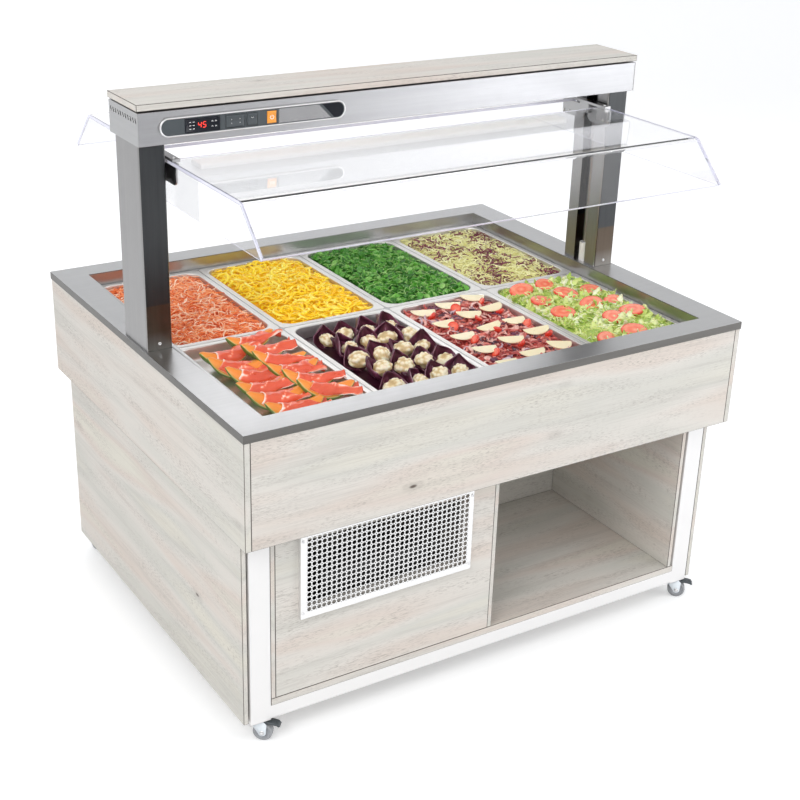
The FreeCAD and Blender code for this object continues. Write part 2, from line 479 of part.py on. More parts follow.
# ---- posts, beam, shelf ----------------------------------------------------------------------------------
def post():
    """Right post: folded channel with rounded edges, open slot in the inner face."""
    z = (WORKTOP_HEIGHT, BEAM_BOTTOM)
    body = block((POST_INNER_X, POST_OUTER_X), sym(POST_DEPTH / 2), z)
    body = body.makeFillet(POST_CORNER, edges_along(body, Z))
    inside = block((POST_INNER_X + POST_WALL, POST_OUTER_X - POST_WALL), sym(POST_DEPTH / 2 - POST_WALL), z)
    slot = block((POST_INNER_X - 1, POST_INNER_X + POST_WALL + 1), sym(SLOT_WIDTH / 2), z)
    return body.cut(inside).cut(slot)


def actuator():
    """Right lift actuator: guide tube standing in the tank wall and post, gear motor at its foot."""
    top = WORKTOP_HEIGHT + TUBE_ABOVE
    tube = Part.makeCylinder(TUBE_RADIUS, top - TUBE_BOTTOM, V(ROD_X, 0, TUBE_BOTTOM))
    bore = Part.makeCylinder(ROD_RADIUS + ROD_CLEARANCE, top - TUBE_BOTTOM,
                             V(ROD_X, 0, TUBE_BOTTOM + TUBE_FLOOR))
    half = GEARBOX_SIZE / 2
    box = block((ROD_X - half, ROD_X + half), sym(half), (TUBE_BOTTOM - GEARBOX_HEIGHT, TUBE_BOTTOM))
    return tube.cut(bore).fuse(box)


def beam():
    """Closed beam of thin sheet, its ends taken by the vented covers."""
    length = BEAM_X - BEAM_WALL
    body = block(sym(length), sym(BEAM_DEPTH / 2), (BEAM_BOTTOM, BEAM_TOP))
    return body.cut(block(sym(length + 1), sym(BEAM_DEPTH / 2 - BEAM_WALL),
                          (BEAM_BOTTOM + BEAM_WALL, BEAM_TOP - BEAM_WALL)))


def beam_end():
    """Right end cover with a row of slanted vents."""
    x = BEAM_X - BEAM_WALL
    cover = block((x, x + BEAM_WALL), sym(BEAM_DEPTH / 2), (BEAM_BOTTOM, BEAM_TOP))
    half_w, half_h = VENT_WIDTH / 2, VENT_HEIGHT / 2
    outline = [V(0, -half_w - VENT_LEAN / 2, -half_h), V(0, half_w - VENT_LEAN / 2, -half_h),
               V(0, half_w + VENT_LEAN / 2, half_h), V(0, VENT_LEAN / 2 - half_w, half_h)]
    vents = []
    for number in range(VENT_COUNT):
        y = (number - (VENT_COUNT - 1) / 2) * VENT_PITCH
        vents.append(prism(outline, V(x - 1, y, BEAM_TOP - VENT_DROP), X * (BEAM_WALL + 2)))
    return cover.cut(vents)


def shelf_and_lamp():
    """Top shelf on its spacers, and the lamp under the beam."""
    spacer = block(sym(SPACER_WIDTH / 2), sym(SHELF_Y * 2 / 3), (BEAM_TOP, BEAM_TOP + SHELF_GAP))
    places = [-SHELF_X * SPACER_REACH, 0.0, SHELF_X * SPACER_REACH]
    save("shelf_spacers", Part.makeCompound([spacer.translated(V(x, 0, 0)) for x in places]))
    z = BEAM_TOP + SHELF_GAP
    save("top_shelf", block(sym(SHELF_X), sym(SHELF_Y), (z, z + SHELF_THICK)))
    lamp = block(sym(BEAM_X - LAMP_INSET), sym(LAMP_DEPTH / 2), (BEAM_BOTTOM - LAMP_HEIGHT, BEAM_BOTTOM))
    low = [e for e in lamp.Edges if e.CenterOfMass.z < BEAM_BOTTOM - LAMP_HEIGHT + 1
           and abs(e.CenterOfMass.y) > 1]
    save("lamp", lamp.makeChamfer(LAMP_HEIGHT / 3, low))


def from_pill(span):
    """Two x values from a span measured from the pill's left end."""
    return (PILL_X[0] + span[0], PILL_X[0] + span[1])


def control_panel():
    """Bezel ring, face plate with pockets, display module and three rocker switches."""
    outer = pill(PILL_X, PILL_Z, PILL_HEIGHT, BEAM_FACE, BEZEL_STAND)
    inner_x = (PILL_X[0] + BEZEL, PILL_X[1] - BEZEL)
    hole = pill(inner_x, PILL_Z, PILL_HEIGHT - 2 * BEZEL, BEAM_FACE, BEZEL_STAND)
    save("panel_bezel", outer.cut(hole))
    plate = pill(inner_x, PILL_Z, PILL_HEIGHT - 2 * BEZEL, BEAM_FACE, PILL_STAND)
    display = block(from_pill(DISPLAY_SPAN), (BEAM_FACE - DISPLAY_STAND, BEAM_FACE),
                    (PILL_Z - DISPLAY_HEIGHT / 2, PILL_Z + DISPLAY_HEIGHT / 2))
    plate = plate.cut(display)
    save("display", display)
    high = (PILL_Z - ROCKER_HEIGHT / 2, PILL_Z + ROCKER_HEIGHT / 2)
    for name, span in ROCKER_SPANS.items():
        plate = plate.cut(block(from_pill(span), (BEAM_FACE - PILL_STAND, BEAM_FACE), high))
        save(name, rocker(from_pill(span)))
    save("panel_plate", plate)


def rocker(x):
    """Rocker with a shallow V face, rolling on a round back; it tilts about a level axis along X."""
    half = ROCKER_HEIGHT / 2 - ROCKER_SLACK
    back = BEAM_FACE - ROCKER_BACK - ROCKER_SEAT
    front = BEAM_FACE - PILL_STAND - ROCKER_PROUD
    outline = [V(0, back, -half), V(0, front, -half), V(0, front + ROCKER_DISH, 0), V(0, front, half),
               V(0, back, half)]
    width = x[1] - x[0] - 2 * ROCKER_SLACK
    start = V(x[0] + ROCKER_SLACK, 0, PILL_Z)
    roll = Part.makeCylinder(ROCKER_BACK, width, start + Y * back, X)
    return prism(outline, start, X * width).fuse(roll)


# ---- canopy ----------------------------------------------------------------------------------------------
def guard_profile():
    """Points of the rear guard's outer line: inner edge, bend, lip end; and of the line one sheet below."""
    turn = GUARD_THICK * math.tan(LIP_SLOPE / 2)
    upper = [V(0, GUARD_INNER, GUARD_TOP), V(0, GUARD_BEND, GUARD_TOP), V(0, GUARD_LIP_Y, GUARD_LIP_Z)]
    lip = V(0, GUARD_LIP_Y - GUARD_THICK * math.sin(LIP_SLOPE),
            GUARD_LIP_Z - GUARD_THICK * math.cos(LIP_SLOPE))
    lower = [lip, V(0, GUARD_BEND - turn, GUARD_UNDER), V(0, GUARD_INNER, GUARD_UNDER)]
    return upper, lower


def guard():
    """Rear guard: one sheet, level then bent down to the lip, with a rounded bend."""
    upper, lower = guard_profile()
    body = prism(upper + lower, V(-CANOPY_HALF, 0, 0), X * 2 * CANOPY_HALF)
    bend = [e for e in edges_along(body, X) if e.CenterOfMass.z > GUARD_TOP - NEAR
            and abs(e.CenterOfMass.y - GUARD_BEND) < NEAR]
    return body.makeFillet(BEND_ROUND, bend)


def cheek():
    """Right end cheek under both guards, notched for the lift arm."""
    _, lower = guard_profile()
    lip, bend, _ = lower
    outline = [lip, bend, V(0, -bend.y, bend.z), V(0, -lip.y, lip.z)]
    sheet = prism(outline, V(CANOPY_HALF - CHEEK_THICK, 0, 0), X * CHEEK_THICK)
    notch = block((0, TOP_X), sym(ARM_WIDTH / 2 + ARM_CLEARANCE),
                  (GUARD_UNDER - ARM_DROP - ARM_CLEARANCE, GUARD_TOP))
    return sheet.cut(notch)


def bracket():
    """Right canopy bracket: clamp bar over the guards, two plates inside the cheek, arm into the post."""
    inner = CANOPY_HALF - CHEEK_THICK
    plate_x = (inner - BRACKET_PLATE_THICK, inner)
    bar = block((CANOPY_HALF - BRACKET_BAR_WIDTH, CANOPY_HALF), sym(BRACKET_BAR_HALF),
                (GUARD_TOP, GUARD_TOP + BRACKET_BAR_THICK))
    plate = block(plate_x, BRACKET_PLATE_Y, (GUARD_UNDER - BRACKET_PLATE_DROP, GUARD_UNDER))
    bottom = GUARD_UNDER - BRACKET_PLATE_DROP
    low = [e for e in edges_along(plate, X) if e.CenterOfMass.z < bottom + NEAR]
    plate = plate.makeFillet(BRACKET_PLATE_DROP / 3, low)
    half, low_z = ARM_WIDTH / 2, GUARD_UNDER - ARM_DROP
    arm = block((plate_x[0], ROD_X + ROD_RADIUS), sym(half), (low_z, GUARD_UNDER))
    neck = block((CANOPY_HALF - BRACKET_BAR_WIDTH, CANOPY_HALF), sym(half), (low_z, GUARD_TOP))
    return bar.fuse([plate, plate.mirror(V(0, 0, 0), Y), arm, neck]).removeSplitter()


def canopy_screws():
    """Heads on the clamp bars and on the plates inside the cheeks."""
    inner = CANOPY_HALF - CHEEK_THICK - BRACKET_PLATE_THICK
    heads = []
    for face in (-1, 1):
        for inset in BRACKET_SCREWS:
            at = V(inner, face * (BRACKET_PLATE_Y[1] - inset), GUARD_UNDER - BRACKET_SCREW_DROP)
            heads.append(screw(at, -X))
        at = V(CANOPY_HALF - BRACKET_BAR_WIDTH / 2, face * (BRACKET_BAR_HALF - BAR_SCREW_INSET),
               GUARD_TOP + BRACKET_BAR_THICK)
        heads.append(screw(at, Z))
    return both_x(Part.makeCompound(heads))


# ---- castors ---------------------------------------------------------------------------------------------
def castor_fork(side, top):
    """Fork at its swivel axis, heading along +X: crown, stem, two cheeks and the axle through them."""
    back, nose, foot = -FORK_BACK, TRAIL + FORK_NOSE, WHEEL_RADIUS - FORK_FOOT
    outline = [V(back, 0, top), V(CROWN_HALF, 0, top), V(nose, 0, top - NOSE_DROP),
               V(TRAIL + FORK_FOOT, 0, foot), V(TRAIL - FORK_FOOT, 0, foot), V(back, 0, top - BACK_DROP)]
    cheeks = [prism(outline, V(0, y, 0), Y * FORK_SHEET) for y in (side, -side - FORK_SHEET)]
    crown = block((-CROWN_HALF, CROWN_HALF), sym(side + FORK_SHEET), (top - CROWN_THICK, top))
    stem = Part.makeCylinder(STEM_RADIUS, HEAD_HEIGHT + LEG_WALL + SWIVEL_GAP, V(0, 0, top))
    end = side + FORK_SHEET + AXLE_PROUD
    axle = Part.makeCylinder(AXLE_RADIUS, 2 * end, V(TRAIL, -end, WHEEL_RADIUS), Y)
    return crown.fuse(cheeks + [stem, axle]).removeSplitter()


def castor_wheel():
    """Plain wheel bored for its axle."""
    at = V(TRAIL, -WHEEL_WIDTH / 2, WHEEL_RADIUS)
    bore = Part.makeCylinder(AXLE_RADIUS + AXLE_CLEARANCE, WHEEL_WIDTH, at, Y)
    return Part.makeCylinder(WHEEL_RADIUS, WHEEL_WIDTH, at, Y).cut(bore)


def brake_pedal(side, top):
    """Foot pedal hung on a cross pin between the fork's cheeks, reaching out behind the wheel."""
    pivot = V(TRAIL + PEDAL_TRAIL, 0, top - PEDAL_DROP)
    outer, high = side - PEDAL_SIDE_GAP, PEDAL_PIVOT_RADIUS - PAD_INSET
    pin = Part.makeCylinder(PEDAL_PIVOT_RADIUS, 2 * outer, pivot - Y * outer, Y)
    outline = [V(0, 0, high), V(PEDAL_LENGTH, 0, -PEDAL_SLOPE), V(PEDAL_LENGTH + PEDAL_NOSE, 0, -PEDAL_TIP),
               V(PEDAL_LENGTH - PEDAL_UNDERCUT, 0, -PEDAL_SLOPE - PEDAL_THICK),
               V(PEDAL_SLOPE, 0, high - PEDAL_THICK)]
    pad = prism(outline, pivot - Y * (outer - PAD_INSET), Y * 2 * (outer - PAD_INSET))
    return pin.fuse(pad)


def castors():
    """All four castors at their legs, each fork turned to its own heading; brakes on the front ones."""
    side, top = WHEEL_WIDTH / 2 + FORK_SIDE_GAP, CASTOR_TOP - HEAD_HEIGHT - SWIVEL_GAP
    pieces = {"castor_fork_": castor_fork(side, top), "castor_wheel_": castor_wheel()}
    pedal = {"brake_pedal_": brake_pedal(side, top)}
    for place, (sx, sy, heading) in CASTORS.items():
        at = V(sx * (LEG_X - LEG / 2), sy * (LEG_Y - LEG / 2), 0)
        turned = FreeCAD.Placement(at, FreeCAD.Rotation(Z, heading)).toMatrix()
        for name, shape in (pieces | pedal if sy < 0 else pieces).items():
            save(name + place, shape.transformed(turned))


def main():
    """Build every sub-part and write it to its own file."""
    os.makedirs("parts", exist_ok=True)
    save("worktop", worktop())
    save("well_liner", well_liner())
    save("insulation", insulation())
    save("tank_shell", tank_shell())
    save("pan_bars", pan_bars())
    for name, x, y in pan_centres():
        save(name, pan(x, y, TRAY_DEPTH if name == "pan_front_1" else PAN_DEPTH))
    aprons()
    save("base_frame", base_frame())
    save("floor_board", floor_board())
    cabinet_boards()
    save("vent_grille", vent_grille())
    save("fixing_screws", fixing_screws())
    condensing_unit()
    save("posts", both_x(post()))
    save("lift_actuators", both_x(actuator()))
    save("beam", beam())
    save("beam_ends", both_x(beam_end()))
    shelf_and_lamp()
    control_panel()
    rear_guard = guard()
    save("guard_rear", rear_guard)
    save("guard_front", rear_guard.mirror(V(0, 0, 0), Y))
    save("end_cheeks", both_x(cheek()))
    save("canopy_brackets", both_x(bracket()))
    rod_length = GUARD_UNDER - ARM_DROP - ROD_BOTTOM
    save("lift_rods", both_x(Part.makeCylinder(ROD_RADIUS, rod_length, V(ROD_X, 0, ROD_BOTTOM))))
    save("canopy_screws", canopy_screws())
    castors()


main()
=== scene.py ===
"""Looks of a refrigerated salad bar: steel, laminate, acrylic, filled pans, castors and studio."""

from __future__ import annotations

import json
import logging
import math
from dataclasses import dataclass, field, replace
from enum import Enum
from typing import Callable, Iterable, Sequence

import bmesh
import bpy
import mathutils
import numpy as np
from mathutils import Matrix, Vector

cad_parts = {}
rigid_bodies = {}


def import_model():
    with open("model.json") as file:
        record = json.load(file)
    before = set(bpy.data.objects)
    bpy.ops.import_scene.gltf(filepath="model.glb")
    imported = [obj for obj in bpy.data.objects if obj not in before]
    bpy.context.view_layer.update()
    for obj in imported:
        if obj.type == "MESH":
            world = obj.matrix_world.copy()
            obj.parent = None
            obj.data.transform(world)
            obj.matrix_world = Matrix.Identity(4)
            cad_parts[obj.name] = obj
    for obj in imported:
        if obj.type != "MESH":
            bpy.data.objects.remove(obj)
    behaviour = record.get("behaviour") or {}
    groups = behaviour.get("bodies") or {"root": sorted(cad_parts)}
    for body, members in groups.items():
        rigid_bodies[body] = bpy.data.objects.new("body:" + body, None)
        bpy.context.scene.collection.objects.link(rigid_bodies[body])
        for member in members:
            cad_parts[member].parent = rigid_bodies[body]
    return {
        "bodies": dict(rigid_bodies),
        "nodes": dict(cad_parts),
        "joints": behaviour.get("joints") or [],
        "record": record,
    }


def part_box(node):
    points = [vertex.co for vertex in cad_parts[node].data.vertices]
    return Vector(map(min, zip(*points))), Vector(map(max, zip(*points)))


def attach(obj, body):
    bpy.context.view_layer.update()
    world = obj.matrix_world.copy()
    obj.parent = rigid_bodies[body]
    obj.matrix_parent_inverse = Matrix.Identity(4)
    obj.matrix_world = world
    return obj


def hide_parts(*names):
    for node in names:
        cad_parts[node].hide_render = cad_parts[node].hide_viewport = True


LOG = logging.getLogger("salad_bar")
Array = np.ndarray
Colour = tuple[float, float, float]
MERGE = 2e-6                # vertices nearer than this are one, in metres
FLAT = 1e-3                 # faces and edges that turn less than this are one, in radians


class Axis(Enum):
    """Direction in which a brush line or a wood grain runs."""

    X = (1.0, 0.0, 0.0)
    Y = (0.0, 1.0, 0.0)
    Z = (0.0, 0.0, 1.0)


# ---- meshes ------------------------------------------------------------------------------------------------


@dataclass
class Surface:
    """Points and polygons of one mesh, kept as arrays until it is made.

    Attributes:
        points: one row of three coordinates per vertex, in metres.
        polygons: arrays of vertex numbers, one array per polygon size.
        tone: one number per vertex from 0 to 1, used for colour variation.
        paint: material number per array of polygons, all zero where left out.
    """

    points: Array
    polygons: list[Array]
    tone: Array | None = None
    paint: list[int] | None = None

    def moved(self, offset: Sequence[float]) -> Surface:
        """The same surface, shifted."""
        return replace(self, points=self.points + np.asarray(offset, float))

    def turned(self, matrix: Array) -> Surface:
        """The same surface, turned by a 3 by 3 matrix."""
        return replace(self, points=self.points @ np.asarray(matrix).T)

    def toned(self, tone: Array | float) -> Surface:
        """The same surface with another tone."""
        return replace(self, tone=np.broadcast_to(np.asarray(tone, float), (len(self.points),)).copy())

    def painted(self, number: int) -> Surface:
        """The same surface with one material number everywhere."""
        return replace(self, paint=[number] * len(self.polygons))

    def paints(self) -> list[int]:
        """The material number of every array of polygons."""
        return [0] * len(self.polygons) if self.paint is None else self.paint

    def tones(self) -> Array:
        """The tone of every vertex, one half where none was given."""
        return np.full(len(self.points), 0.5) if self.tone is None else self.tone


def joined(surfaces: Iterable[Surface]) -> Surface:
    """One surface made of several.

    Args:
        surfaces: the parts, which stay separate shells.

    Returns:
        A surface with all their points and polygons.
    """
    parts = list(surfaces)
    starts = np.cumsum([0] + [len(part.points) for part in parts[:-1]])
    polygons = [faces + start for part, start in zip(parts, starts) for faces in part.polygons]
    return Surface(np.concatenate([part.points for part in parts]), polygons,
                   np.concatenate([part.tones() for part in parts]),
                   [n for part in parts for n in part.paints()])


def copies(template: Surface, turns: Array, places: Array, tones: Array | None = None) -> Surface:
    """Many turned and shifted copies of one small surface.

    Every copy is template times its matrix plus its place, computed for all copies at once.

    Args:
        template: the surface to repeat.
        turns: n matrices, 3 by 3, which may also scale.
        places: n positions.
        tones: one tone per copy; the template's own tones where left out.

    Returns:
        One surface with n shells.
    """
    count, size = len(places), len(template.points)
    points = np.einsum("nij,kj->nki", turns, template.points) + places[:, None, :]
    shift = (np.arange(count) * size)[:, None, None]
    polygons = [(faces[None] + shift).reshape(-1, faces.shape[1]) for faces in template.polygons]
    tone = np.tile(template.tones(), count) if tones is None else np.repeat(tones, size)
    return Surface(points.reshape(-1, 3), polygons, tone, template.paints())


def grid(points: Array, close_u: bool = False, close_v: bool = False) -> Surface:
    """Surface through a grid of points.

    Args:
        points: nu by nv by 3.
        close_u: joins the last row to the first.
        close_v: joins the last column to the first.

    Returns:
        A surface of quads.
    """
    nu, nv = points.shape[:2]
    number = np.arange(nu * nv).reshape(nu, nv)
    if close_u:
        number = np.concatenate([number, number[:1]], 0)
    if close_v:
        number = np.concatenate([number, number[:, :1]], 1)
    quads = np.stack([number[:-1, :-1], number[1:, :-1], number[1:, 1:], number[:-1, 1:]], -1)
    return Surface(points.reshape(-1, 3), [quads.reshape(-1, 4)])


def capped(points: Array) -> Surface:
    """Closed tube through nu rings of nv points each, with a flat polygon on both ends."""
    side = grid(points, close_v=True)
    nu, nv = points.shape[:2]
    ends = np.stack([np.arange(nv)[::-1], np.arange(nv) + (nu - 1) * nv])
    return Surface(side.points, [side.polygons[0][:, ::-1], ends[:, ::-1]])


def revolved(profile: Array, sides: int, axis: Axis = Axis.Z, close: bool = False) -> Surface:
    """Surface of revolution: every profile point (radius, height) turns about the axis.

    Args:
        profile: n rows of radius and height.
        sides: number of steps round the axis.
        axis: the axis of turning.
        close: joins the profile's last point to its first, as for a ring.

    Returns:
        A closed surface; ends with a radius of zero are merged later by welding.
    """
    angle = np.linspace(0, 2 * np.pi, sides, endpoint=False)
    radius, height = profile[:, 0, None], profile[:, 1, None]
    points = np.stack([radius * np.cos(angle), radius * np.sin(angle), height + 0 * angle], -1)
    turn = {Axis.X: [[0, 0, 1], [1, 0, 0], [0, 1, 0]], Axis.Y: [[0, 1, 0], [0, 0, 1], [1, 0, 0]],
            Axis.Z: np.eye(3)}[axis]
    return grid(points, close_u=close, close_v=True).turned(np.array(turn, float))


def rounded_rectangle(half_x: Array, half_y: Array, radius: Array, corner_steps: int = 8) -> Array:
    """Closed outlines with quarter-circle corners, one outline per entry of the size arrays.

    Each point is the corner's centre plus the radius times the direction of its angle.

    Args:
        half_x: half widths.
        half_y: half depths.
        radius: corner radii.
        corner_steps: steps in each corner.

    Returns:
        Array of outlines by points by 2.
    """
    half_x, half_y, radius = (np.atleast_1d(np.asarray(v, float)) for v in (half_x, half_y, radius))
    step = np.linspace(0, np.pi / 2, corner_steps + 1)
    angle = np.concatenate([step + quarter * np.pi / 2 for quarter in range(4)])
    sign_x = np.repeat([1, -1, -1, 1], corner_steps + 1)
    sign_y = np.repeat([1, 1, -1, -1], corner_steps + 1)
    x = sign_x * (half_x - radius)[:, None] + radius[:, None] * np.cos(angle)
    y = sign_y * (half_y - radius)[:, None] + radius[:, None] * np.sin(angle)
    return np.stack([x, y], -1)


def upright(outline: Array, y: float) -> Array:
    """Points of an outline of x and z, at one y."""
    return np.stack([outline[:, 0], np.full(len(outline), y), outline[:, 1]], -1)


def thickened(middle: Array, thick: float, tone: Array | None = None) -> Surface:
    """Closed thin sheet about a grid of points, each moved half the thickness either way along its normal.

    The normal is the cross product of the grid's differences along its two directions.

    Args:
        middle: nu by nv by 3 points halfway through the sheet.
        thick: its thickness.
        tone: nu by nv tones.

    Returns:
        The sheet, with a strip of quads along every border.
    """
    normal = np.cross(np.gradient(middle, axis=0), np.gradient(middle, axis=1))
    normal /= np.maximum(np.linalg.norm(normal, axis=-1, keepdims=True), 1e-9)
    upper, lower = middle + normal * thick / 2, middle - normal * thick / 2
    side = grid(np.concatenate([upper, lower[:, ::-1]], 1), close_v=True)
    nu, nv = middle.shape[:2]
    strip = np.arange(nv - 1)
    end = np.stack([strip, strip + 1, 2 * nv - 2 - strip, 2 * nv - 1 - strip], -1)
    tones = None if tone is None else np.concatenate([tone, tone[:, ::-1]], 1).ravel()
    return Surface(side.points, [*side.polygons, end, end[:, ::-1] + (nu - 1) * 2 * nv], tones)


def turning(yaw: Array, pitch: Array, roll: Array, size: Array | float = 1.0) -> Array:
    """Matrices that turn about X by roll, then about Y by pitch, then about Z by yaw, and scale by size."""

    def about(axis: int, angle: Array) -> Array:
        """Turns about one axis."""
        angle = np.atleast_1d(np.asarray(angle, float))
        one, two = (axis + 1) % 3, (axis + 2) % 3
        matrix = np.zeros((len(angle), 3, 3))
        matrix[:, axis, axis] = 1.0
        matrix[:, one, one] = matrix[:, two, two] = np.cos(angle)
        matrix[:, one, two], matrix[:, two, one] = -np.sin(angle), np.sin(angle)
        return matrix

    turned = about(2, yaw) @ about(1, pitch) @ about(0, roll)
    return turned * np.broadcast_to(np.atleast_1d(np.asarray(size, float)), (len(turned),))[:, None, None]


def make(name: str, surface: Surface, body: str, finishes: Sequence[Finish],
         replaces: Sequence[str] = (), weld: bool = False, smooth: bool = True) -> bpy.types.Object:
    """Turns a surface into a finished object that rides on a body.

    Args:
        name: the piece's name.
        surface: its points and polygons.
        body: the body that it moves with.
        finishes: its finishes, in the order of the surface's material numbers.
        replaces: nodes of the solid model that it stands for.
        weld: merges points that coincide and turns the faces outwards.
        smooth: smooth shading.

    Returns:
        The object.
    """
    mesh = bpy.data.meshes.new(name)
    mesh.vertices.add(len(surface.points))
    mesh.vertices.foreach_set("co", surface.points.astype(np.float32).ravel())
    loops = np.concatenate([faces.ravel() for faces in surface.polygons]).astype(np.int32)
    sizes = np.concatenate([np.full(len(faces), faces.shape[1]) for faces in surface.polygons])
    mesh.loops.add(len(loops))
    mesh.loops.foreach_set("vertex_index", loops)
    mesh.polygons.add(len(sizes))
    mesh.polygons.foreach_set("loop_start", np.concatenate([[0], np.cumsum(sizes)[:-1]]).astype(np.int32))
    painted = zip(surface.polygons, surface.paints())
    number = np.concatenate([np.full(len(faces), paint) for faces, paint in painted])
    mesh.update(calc_edges=True)
    for finish in finishes:
        mesh.materials.append(finish.material)
    mesh.polygons.foreach_set("material_index", number.astype(np.int32))
    mesh.validate()
    attribute = mesh.attributes.new("tone", "FLOAT", "POINT")
    attribute.data.foreach_set("value", surface.tones().astype(np.float32))
    if weld:
        work = bmesh.new()
        work.from_mesh(mesh)
        bmesh.ops.remove_doubles(work, verts=work.verts, dist=1e-6)
        bmesh.ops.recalc_face_normals(work, faces=work.faces)
        work.to_mesh(mesh)
        work.free()
    mesh.polygons.foreach_set("use_smooth", np.full(len(mesh.polygons), smooth))
    piece = bpy.data.objects.new(name, mesh)
    bpy.context.scene.collection.objects.link(piece)
    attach(piece, body)
    if replaces:
        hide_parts(*replaces)
    LOG.info("piece %s: %d vertices on %s", name, len(mesh.vertices), body)
    return piece


def finish_edges(piece: bpy.types.Object, width: float, segments: int = 2, weld: bool = False) -> None:
    """Rounds the sharp edges of a piece with live modifiers.

    Args:
        piece: the object.
        width: width of the rounded edge, in metres.
        segments: steps across it.
        weld: merges loose triangles first, as the solid model's meshes need.
    """
    if weld:
        merge = piece.modifiers.new("merge", "WELD")
        merge.merge_threshold = 1e-5
    bevel = piece.modifiers.new("edge", "BEVEL")
    bevel.width, bevel.segments, bevel.limit_method = width, segments, "ANGLE"
    bevel.angle_limit = math.radians(35)
    bevel.harden_normals = True


# ---- shader tools ------------------------------------------------------------------------------------------


@dataclass
class Tree:
    """A node tree with short calls for adding and joining nodes."""

    nodes: bpy.types.Nodes
    links: bpy.types.NodeLinks

    def add(self, kind: str, inputs: dict | None = None, **settings: object) -> bpy.types.Node:
        """Adds a node.

        Args:
            kind: Blender's node type.
            inputs: value or socket per input name.
            settings: attributes of the node itself.

        Returns:
            The node.
        """
        node = self.nodes.new(kind)
        for key, value in settings.items():
            setattr(node, key, value)
        for key, value in (inputs or {}).items():
            if isinstance(value, bpy.types.NodeSocket):
                self.links.new(value, node.inputs[key])
            else:
                node.inputs[key].default_value = value
        return node

    def ramp(self, value: bpy.types.NodeSocket,
             stops: Sequence[tuple[float, Colour]]) -> bpy.types.NodeSocket:
        """Colour ramp through the given stops."""
        node = self.add("ShaderNodeValToRGB", {"Fac": value})
        elements = node.color_ramp.elements
        while len(elements) < len(stops):
            elements.new(0.5)
        for element, (position, colour) in zip(elements, stops):
            element.position, element.color = position, (*colour, 1.0)
        return node.outputs["Color"]

    def mix(self, amount: object, first: object, second: object) -> bpy.types.NodeSocket:
        """Mix of two colours."""
        node = self.add("ShaderNodeMix", data_type="RGBA")
        for number, value in ((0, amount), (6, first), (7, second)):
            if isinstance(value, bpy.types.NodeSocket):
                self.links.new(value, node.inputs[number])
            else:
                node.inputs[number].default_value = value if number == 0 else (*value, 1.0)
        return node.outputs[2]

    def span(self, value: bpy.types.NodeSocket, low: float, high: float) -> bpy.types.NodeSocket:
        """Value from 0..1 spread over low..high."""
        node = self.add("ShaderNodeMapRange", {"Value": value, "To Min": low, "To Max": high})
        return node.outputs["Result"]


def group(name: str, inputs: dict[str, str], outputs: dict[str, str],
          fill: Callable[[Tree, bpy.types.Node, bpy.types.Node], None]) -> bpy.types.NodeTree:
    """Builds a shader node group once.

    Args:
        name: the group's name.
        inputs: socket type per input.
        outputs: socket type per output.
        fill: fills the tree, given the tree and its input and output nodes.

    Returns:
        The group, new or already built.
    """
    if name in bpy.data.node_groups:
        return bpy.data.node_groups[name]
    made = bpy.data.node_groups.new(name, "ShaderNodeTree")
    for label, kind in inputs.items():
        made.interface.new_socket(label, in_out="INPUT", socket_type=kind)
    for label, kind in outputs.items():
        made.interface.new_socket(label, in_out="OUTPUT", socket_type=kind)
    tree = Tree(made.nodes, made.links)
    fill(tree, tree.add("NodeGroupInput"), tree.add("NodeGroupOutput"))
    return made


def streaks() -> bpy.types.NodeTree:
    """Group: fine parallel lines, long noise across a stretched space; puts out a value and a height."""

    def fill(tree: Tree, source: bpy.types.Node, sink: bpy.types.Node) -> None:
        """Adds a fine and a broad noise; the height is the fine one."""
        fine = tree.add("ShaderNodeTexNoise", {"Vector": source.outputs["Vector"], "Scale": 1.0,
                                               "Detail": 3.0})
        broad = tree.add("ShaderNodeTexNoise", {"Vector": source.outputs["Vector"], "Scale": 0.12,
                                                "Detail": 2.0})
        both = tree.add("ShaderNodeMath", {0: fine.outputs["Fac"], 1: broad.outputs["Fac"]}, operation="ADD")
        half = tree.add("ShaderNodeMath", {0: both.outputs[0], 1: 0.5}, operation="MULTIPLY")
        tree.links.new(half.outputs[0], sink.inputs["Value"])
        tree.links.new(fine.outputs["Fac"], sink.inputs["Height"])

    return group("streaks", {"Vector": "NodeSocketVector"},
                 {"Value": "NodeSocketFloat", "Height": "NodeSocketFloat"}, fill)


def smudges() -> bpy.types.NodeTree:
    """Group: soft cloudy marks for roughness, from two noises of different size."""

    def fill(tree: Tree, source: bpy.types.Node, sink: bpy.types.Node) -> None:
        """Multiplies a large and a small noise and widens the result."""
        large = tree.add("ShaderNodeTexNoise", {"Vector": source.outputs["Vector"], "Scale": 6.0,
                                                "Detail": 4.0, "Roughness": 0.6})
        small = tree.add("ShaderNodeTexNoise", {"Vector": source.outputs["Vector"], "Scale": 45.0,
                                                "Detail": 3.0})
        both = tree.add("ShaderNodeMath", {0: large.outputs["Fac"], 1: small.outputs["Fac"]},
                        operation="MULTIPLY")
        tree.links.new(tree.span(both.outputs[0], 0.0, 2.0), sink.inputs["Value"])

    return group("smudges", {"Vector": "NodeSocketVector"}, {"Value": "NodeSocketFloat"}, fill)


def material_tree(name: str) -> tuple[bpy.types.Material, Tree, bpy.types.Node, bpy.types.NodeSocket]:
    """New material with its shader node and object coordinates.

    Args:
        name: the material's name.

    Returns:
        The material, its tree, the Principled BSDF and the object coordinates.
    """
    material = bpy.data.materials.new(name)
    material.use_nodes = True
    tree = Tree(material.node_tree.nodes, material.node_tree.links)
    shader = tree.nodes["Principled BSDF"]
    place = tree.add("ShaderNodeTexCoord").outputs["Object"]
    return material, tree, shader, place


